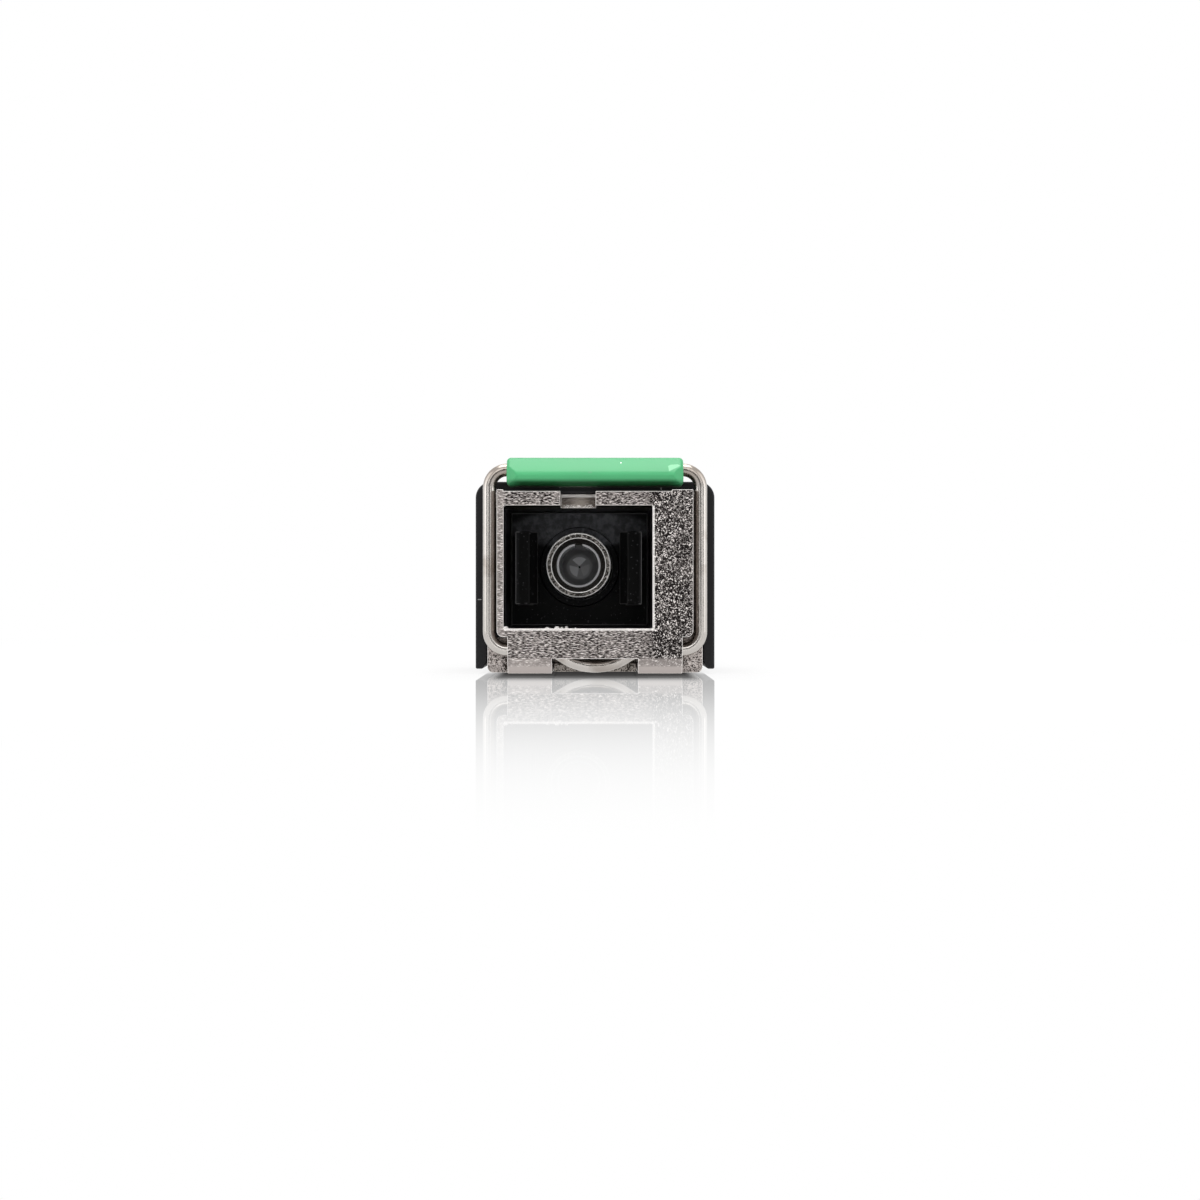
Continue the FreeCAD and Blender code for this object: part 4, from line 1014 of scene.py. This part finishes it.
@dataclass
class OuterShell:
    """The black head cover, the sheet lid and the shielding collar."""

    shop: Workshop
    cover_edge: float = 0.1
    cover_segments: int = 3
    sheet_edge: float = 0.03
    collar_edge: float = 0.02
    scuffs: tuple = (
        ((-7.25, -31.0, 4.55), (0.13, 0.3, 0.035), 1.0, (0.3, 0.3, 0.3)),
        ((4.15, -31.0, 11.55), (0.05, 0.3, 0.12), 0.6, (0.3, 0.3, 0.3)),
        ((-2.2, -31.0, 11.6), (0.06, 0.3, 0.06), 0.5, (0.2, 0.2, 0.2)),
    )

    def build(self) -> None:
        """Make the shell's pieces."""
        black = MouldedPlastic((0.008, 0.008, 0.009), 0.55, 6000.0, 0.35, 0.22, scuffs_and_shades=self.scuffs)
        cover = self.shop.finish("cover_black", black)
        self.shop.soften("head_cover", cover, self.cover_edge, segments=self.cover_segments)
        sheet = SatinMetal((0.36, 0.355, 0.35), (0.28, 0.27, 0.255), 0.36, (1.0, 0.05, 1.0), 0.25)
        self.shop.soften("top_lid", self.shop.finish("sheet_steel", sheet), self.sheet_edge)
        spring = SatinMetal((0.47, 0.45, 0.42), (0.33, 0.29, 0.25), 0.3, (1.0, 0.08, 1.0), 0.6)
        self.shop.soften("emi_collar", self.shop.finish("collar_steel", spring), self.collar_edge)


@dataclass
class Insides:
    """The optics behind the socket and the board in the rear body."""

    shop: Workshop
    chip_edge: float = 0.04
    thin_edge: float = 0.03

    def build(self) -> None:
        """Give every inner piece its finish."""
        plating = SatinMetal((0.83, 0.62, 0.28), (0.6, 0.42, 0.2), 0.25, metallic=0.6)
        gold = self.shop.finish("gold_flash", plating)
        for node in ("laser_leads", "receiver_leads", "edge_contacts"):
            self.shop.paint(node, gold)
        chip = MouldedPlastic((0.02, 0.02, 0.02), 0.6, 12000.0, 0.3)
        film = MouldedPlastic((0.42, 0.2, 0.04), 0.35, 3000.0, 0.05)
        silver = SatinMetal((0.72, 0.71, 0.69), (0.55, 0.52, 0.48), 0.28)
        ferrite = MouldedPlastic((0.07, 0.07, 0.075), 0.5)
        tan = MouldedPlastic((0.42, 0.27, 0.14), 0.45)
        pad = MouldedPlastic((0.36, 0.42, 0.5), 0.8, 4000.0, 0.4)
        chips = ("onu_processor", "flash_memory", "laser_driver", "power_converter")
        table = (
            ("gold_flash", plating, self.chip_edge, ("laser_can", "receiver_can")),
            ("moulded_black", chip, self.chip_edge, chips),
            ("amber_film", film, 0.0, ("laser_flex", "receiver_flex")),
            ("turned_steel", TurnedSteel(), self.chip_edge, ("bosa_body",)),
            ("plated_can", silver, self.chip_edge, ("optic_clip", "oscillator_can")),
            ("solder_mask", SolderMask(), self.thin_edge, ("circuit_board",)),
            ("ferrite", ferrite, self.chip_edge, ("power_inductors",)),
            ("capacitor_tan", tan, self.thin_edge, ("capacitors",)),
            ("thermal_pad", pad, self.chip_edge, ("thermal_pad",)),
        )
        for name, recipe, edge, nodes in table:
            for node in nodes:
                self.shop.soften(node, self.shop.finish(name, recipe), edge)


@dataclass(frozen=True)
class Card:
    """A dark upright card: its middle and size in millimetres, and its turn in degrees."""

    name: str
    middle: tuple
    width: float
    height: float
    turn: float = 0.0

    def place(self) -> Matrix:
        """Return what takes a flat sheet of 1 m to the card."""
        middle = Matrix.Translation(tuple(part * MM for part in self.middle))
        turn = Matrix.Rotation(math.radians(self.turn), 4, "Z") @ Matrix.Rotation(math.pi / 2, 4, "X")
        return middle @ turn @ Matrix.Diagonal((self.width * MM, self.height * MM, 1.0, 1.0))


@dataclass(frozen=True)
class Lamp:
    """A square soft lamp: its place, what it lights and its side in metres, and its power in watts."""

    name: str
    place: tuple
    target: tuple
    side: float
    power: float


@dataclass
class Studio:
    """The pale floor, the soft lights, the dark cards and the camera, with lengths in millimetres."""

    shop: Workshop
    lens: float = 56.25
    sensor: float = 36.0
    distance: float = 115.0
    aim_x: float = 0.31
    aim_z: float = 4.52
    floor_side: float = 1600.0
    floor_grey: Colour = (0.9, 0.9, 0.9)
    floor_ior: float = 1.6
    gap: float = 0.15
    mirror: float = 0.68
    mirror_blur: float = 0.02
    mirror_front: Step = (-80.0, -5.0)
    mirror_back: Step = (8.0, 1.0)
    mirror_beside: Step = (16.0, 10.0)
    mirror_loss: float = 0.9
    shade: float = 0.91
    shade_front: Step = (-10.0, -1.0)
    shade_back: Step = (17.0, 12.0)
    shade_beside: Step = (7.0, 5.6)
    soft_shade: float = 0.06
    soft_shade_beside: Step = (12.0, 7.0)
    glow_least: float = 0.92
    glow_full: Step = (40.0, 90.0)
    card_dark: Colour = (0.02, 0.02, 0.02)
    card_step: Step = (10.5, 12.0)
    fill: float = 0.3
    lamps: tuple = (
        Lamp("lamp_top", (0.0, -0.05, 0.30), (0.0, -0.03, 0.0), 0.24, 0.80),
        Lamp("lamp_left", (-0.32, -0.14, 0.14), (0.0, -0.03, 0.0), 0.30, 0.30),
        Lamp("lamp_right", (0.32, -0.14, 0.14), (0.0, -0.03, 0.0), 0.30, 0.30),
        Lamp("lamp_front", (0.0, -0.34, 0.11), (0.0, -0.03, 0.006), 0.25, 0.26),
        Lamp("lamp_back", (0.0, 0.35, 0.25), (0.0, 0.0, 0.0), 0.40, 0.25),
    )

    def build(self) -> None:
        """Set the stage."""
        self.build_camera()
        self.build_floor()
        self.build_cards()
        self.build_lights()
        self.build_world()
        bpy.context.scene.view_settings.view_transform = "Standard"

    def build_camera(self) -> None:
        """Put the camera straight in front of the socket."""
        data = bpy.data.cameras.new("camera")
        data.lens = self.lens
        data.sensor_width = self.sensor
        data.clip_start = MM
        camera = bpy.data.objects.new("camera", data)
        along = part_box("lower_housing")[0].y - self.distance * MM
        camera.location = (self.aim_x * MM, along, self.aim_z * MM)
        camera.rotation_euler = (math.pi / 2, 0, 0)
        bpy.context.scene.collection.objects.link(camera)
        bpy.context.scene.camera = camera

    def build_plane(self, name: str, size: float, place: Matrix) -> bpy.types.Object:
        """Make one flat sheet of the stage.

        Args:
            name: The sheet's name.
            size: Its side in metres.
            place: Where it goes.

        Returns:
            The sheet.
        """
        mesh = bmesh.new()
        bmesh.ops.create_grid(mesh, x_segments=1, y_segments=1, size=size / 2, matrix=place)
        data = bpy.data.meshes.new(name)
        mesh.to_mesh(data)
        mesh.free()
        sheet = bpy.data.objects.new(name, data)
        bpy.context.scene.collection.objects.link(sheet)
        return sheet

    def strip(self, kit: NodeKit, outer: float, inner: float) -> Value:
        """Return 1 in a strip along the module, from half its outer width to half its inner width."""
        across = kit.part(Axis.ACROSS)
        return across.between(-outer, -inner) * across.between(outer, inner)

    def build_floor(self) -> None:
        """Make the floor: white, with a shadow and a mirror image that fades towards the camera."""
        place = Matrix.Translation((0, 0, -self.gap * MM))
        floor = self.build_plane("floor", self.floor_side * MM, place)
        kit = NodeKit.material("floor_white")
        depth = kit.depth()
        beneath = self.strip(kit, *self.shade_beside)
        close = depth.between(*self.shade_front) * depth.between(*self.shade_back)
        # Painted shadow for the camera: dark under and just in front of the module, with a faint wider
        # strip.
        shade = close * (beneath * self.shade + self.strip(kit, *self.soft_shade_beside) * self.soft_shade)
        direct = kit.value("ShaderNodeLightPath", {}, {}, "Is Camera Ray")
        tone = kit.mix(shade * direct, WHITE, BLACK)
        matte = kit.value("ShaderNodeBsdfDiffuse", {}, {"Color": self.floor_grey})
        white = kit.value("ShaderNodeEmission", {}, {"Color": tone, "Strength": 1.0})
        away = kit.value("ShaderNodeVectorMath", {"operation": "LENGTH"}, {0: kit.place()}, "Value")
        far = (away * (1 / MM)).between(*self.glow_full)
        share = self.glow_least + far * (1.0 - self.glow_least)
        base = kit.value("ShaderNodeMixShader", {}, {0: kit.seen() * share, 1: matte, 2: white})
        shine = kit.value("ShaderNodeBsdfGlossy", {}, {"Color": WHITE, "Roughness": self.mirror_blur})
        fade = depth.between(*self.mirror_front) * depth.between(*self.mirror_back) * self.mirror
        fade = fade * (1.0 - close * beneath * self.mirror_loss) * self.strip(kit, *self.mirror_beside)
        fade = fade * kit.value("ShaderNodeFresnel", {}, {"IOR": self.floor_ior})
        surface = kit.value("ShaderNodeMixShader", {}, {0: fade, 1: base, 2: shine})
        below = kit.value("ShaderNodeNewGeometry", {}, {}, "Backfacing")
        clear = kit.value("ShaderNodeBsdfTransparent", {}, {"Color": WHITE})
        surface = kit.value("ShaderNodeMixShader", {}, {0: below, 1: surface, 2: clear})
        kit.node("ShaderNodeOutputMaterial", {}, {"Surface": surface})
        floor.data.materials.append(kit.owner)

    def build_cards(self) -> None:
        """Make the dark cards round the lens and beside it, which the metal mirrors."""
        kit = NodeKit.material("card_dark")
        away = kit.value("ShaderNodeLightPath", {}, {}, "Ray Length")
        clear = kit.value("ShaderNodeBsdfTransparent", {}, {"Color": WHITE})
        black = kit.value("ShaderNodeBsdfDiffuse", {}, {"Color": self.card_dark})
        near, far = ((self.distance + behind) * MM for behind in self.card_step)
        surface = kit.value("ShaderNodeMixShader", {}, {0: away.between(near, far), 1: clear, 2: black})
        kit.node("ShaderNodeOutputMaterial", {}, {"Surface": surface})
        back = (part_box("lower_housing")[0].y - far) / MM
        cards = (
            Card("lens_card", (0.0, back, 13.0), 75.0, 61.0),
            Card("left_card", (-105.0, -130.0, 10.0), 34.0, 80.0, -45.0),
            Card("right_card", (105.0, -130.0, 10.0), 34.0, 80.0, 45.0),
        )
        for card in cards:
            sheet = self.build_plane(card.name, 1.0, card.place())
            sheet.data.materials.append(kit.owner)
            sheet.visible_camera = False
            sheet.visible_shadow = False
            sheet.visible_diffuse = False

    def build_lights(self) -> None:
        """Hang the large soft lamps."""
        for lamp in self.lamps:
            data = bpy.data.lights.new(lamp.name, "AREA")
            data.shape = "SQUARE"
            data.size = lamp.side
            data.energy = lamp.power
            thing = bpy.data.objects.new(lamp.name, data)
            thing.location = lamp.place
            aim = Vector(lamp.target) - Vector(lamp.place)
            thing.rotation_euler = aim.to_track_quat("-Z", "Y").to_euler()
            bpy.context.scene.collection.objects.link(thing)

    def build_world(self) -> None:
        """Make the world white to the camera, to mirrors and to glass, and a soft fill elsewhere."""
        world = bpy.data.worlds.new("studio")
        bpy.context.scene.world = world
        kit = NodeKit(world)
        fill = kit.value("ShaderNodeBackground", {}, {"Color": WHITE, "Strength": self.fill})
        white = kit.value("ShaderNodeBackground", {}, {"Color": WHITE, "Strength": 1.0})
        sky = kit.value("ShaderNodeMixShader", {}, {0: kit.seen(), 1: fill, 2: white})
        kit.node("ShaderNodeOutputWorld", {}, {"Surface": sky})


def main() -> None:
    """Build every piece in order."""
    logging.basicConfig(level=logging.INFO)
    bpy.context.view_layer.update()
    shop = Workshop()
    for group in (CastBody, BailLatch, FibreSocket, OuterShell, Insides, Studio):
        group(shop).build()


if __name__ == "__main__":
    main()
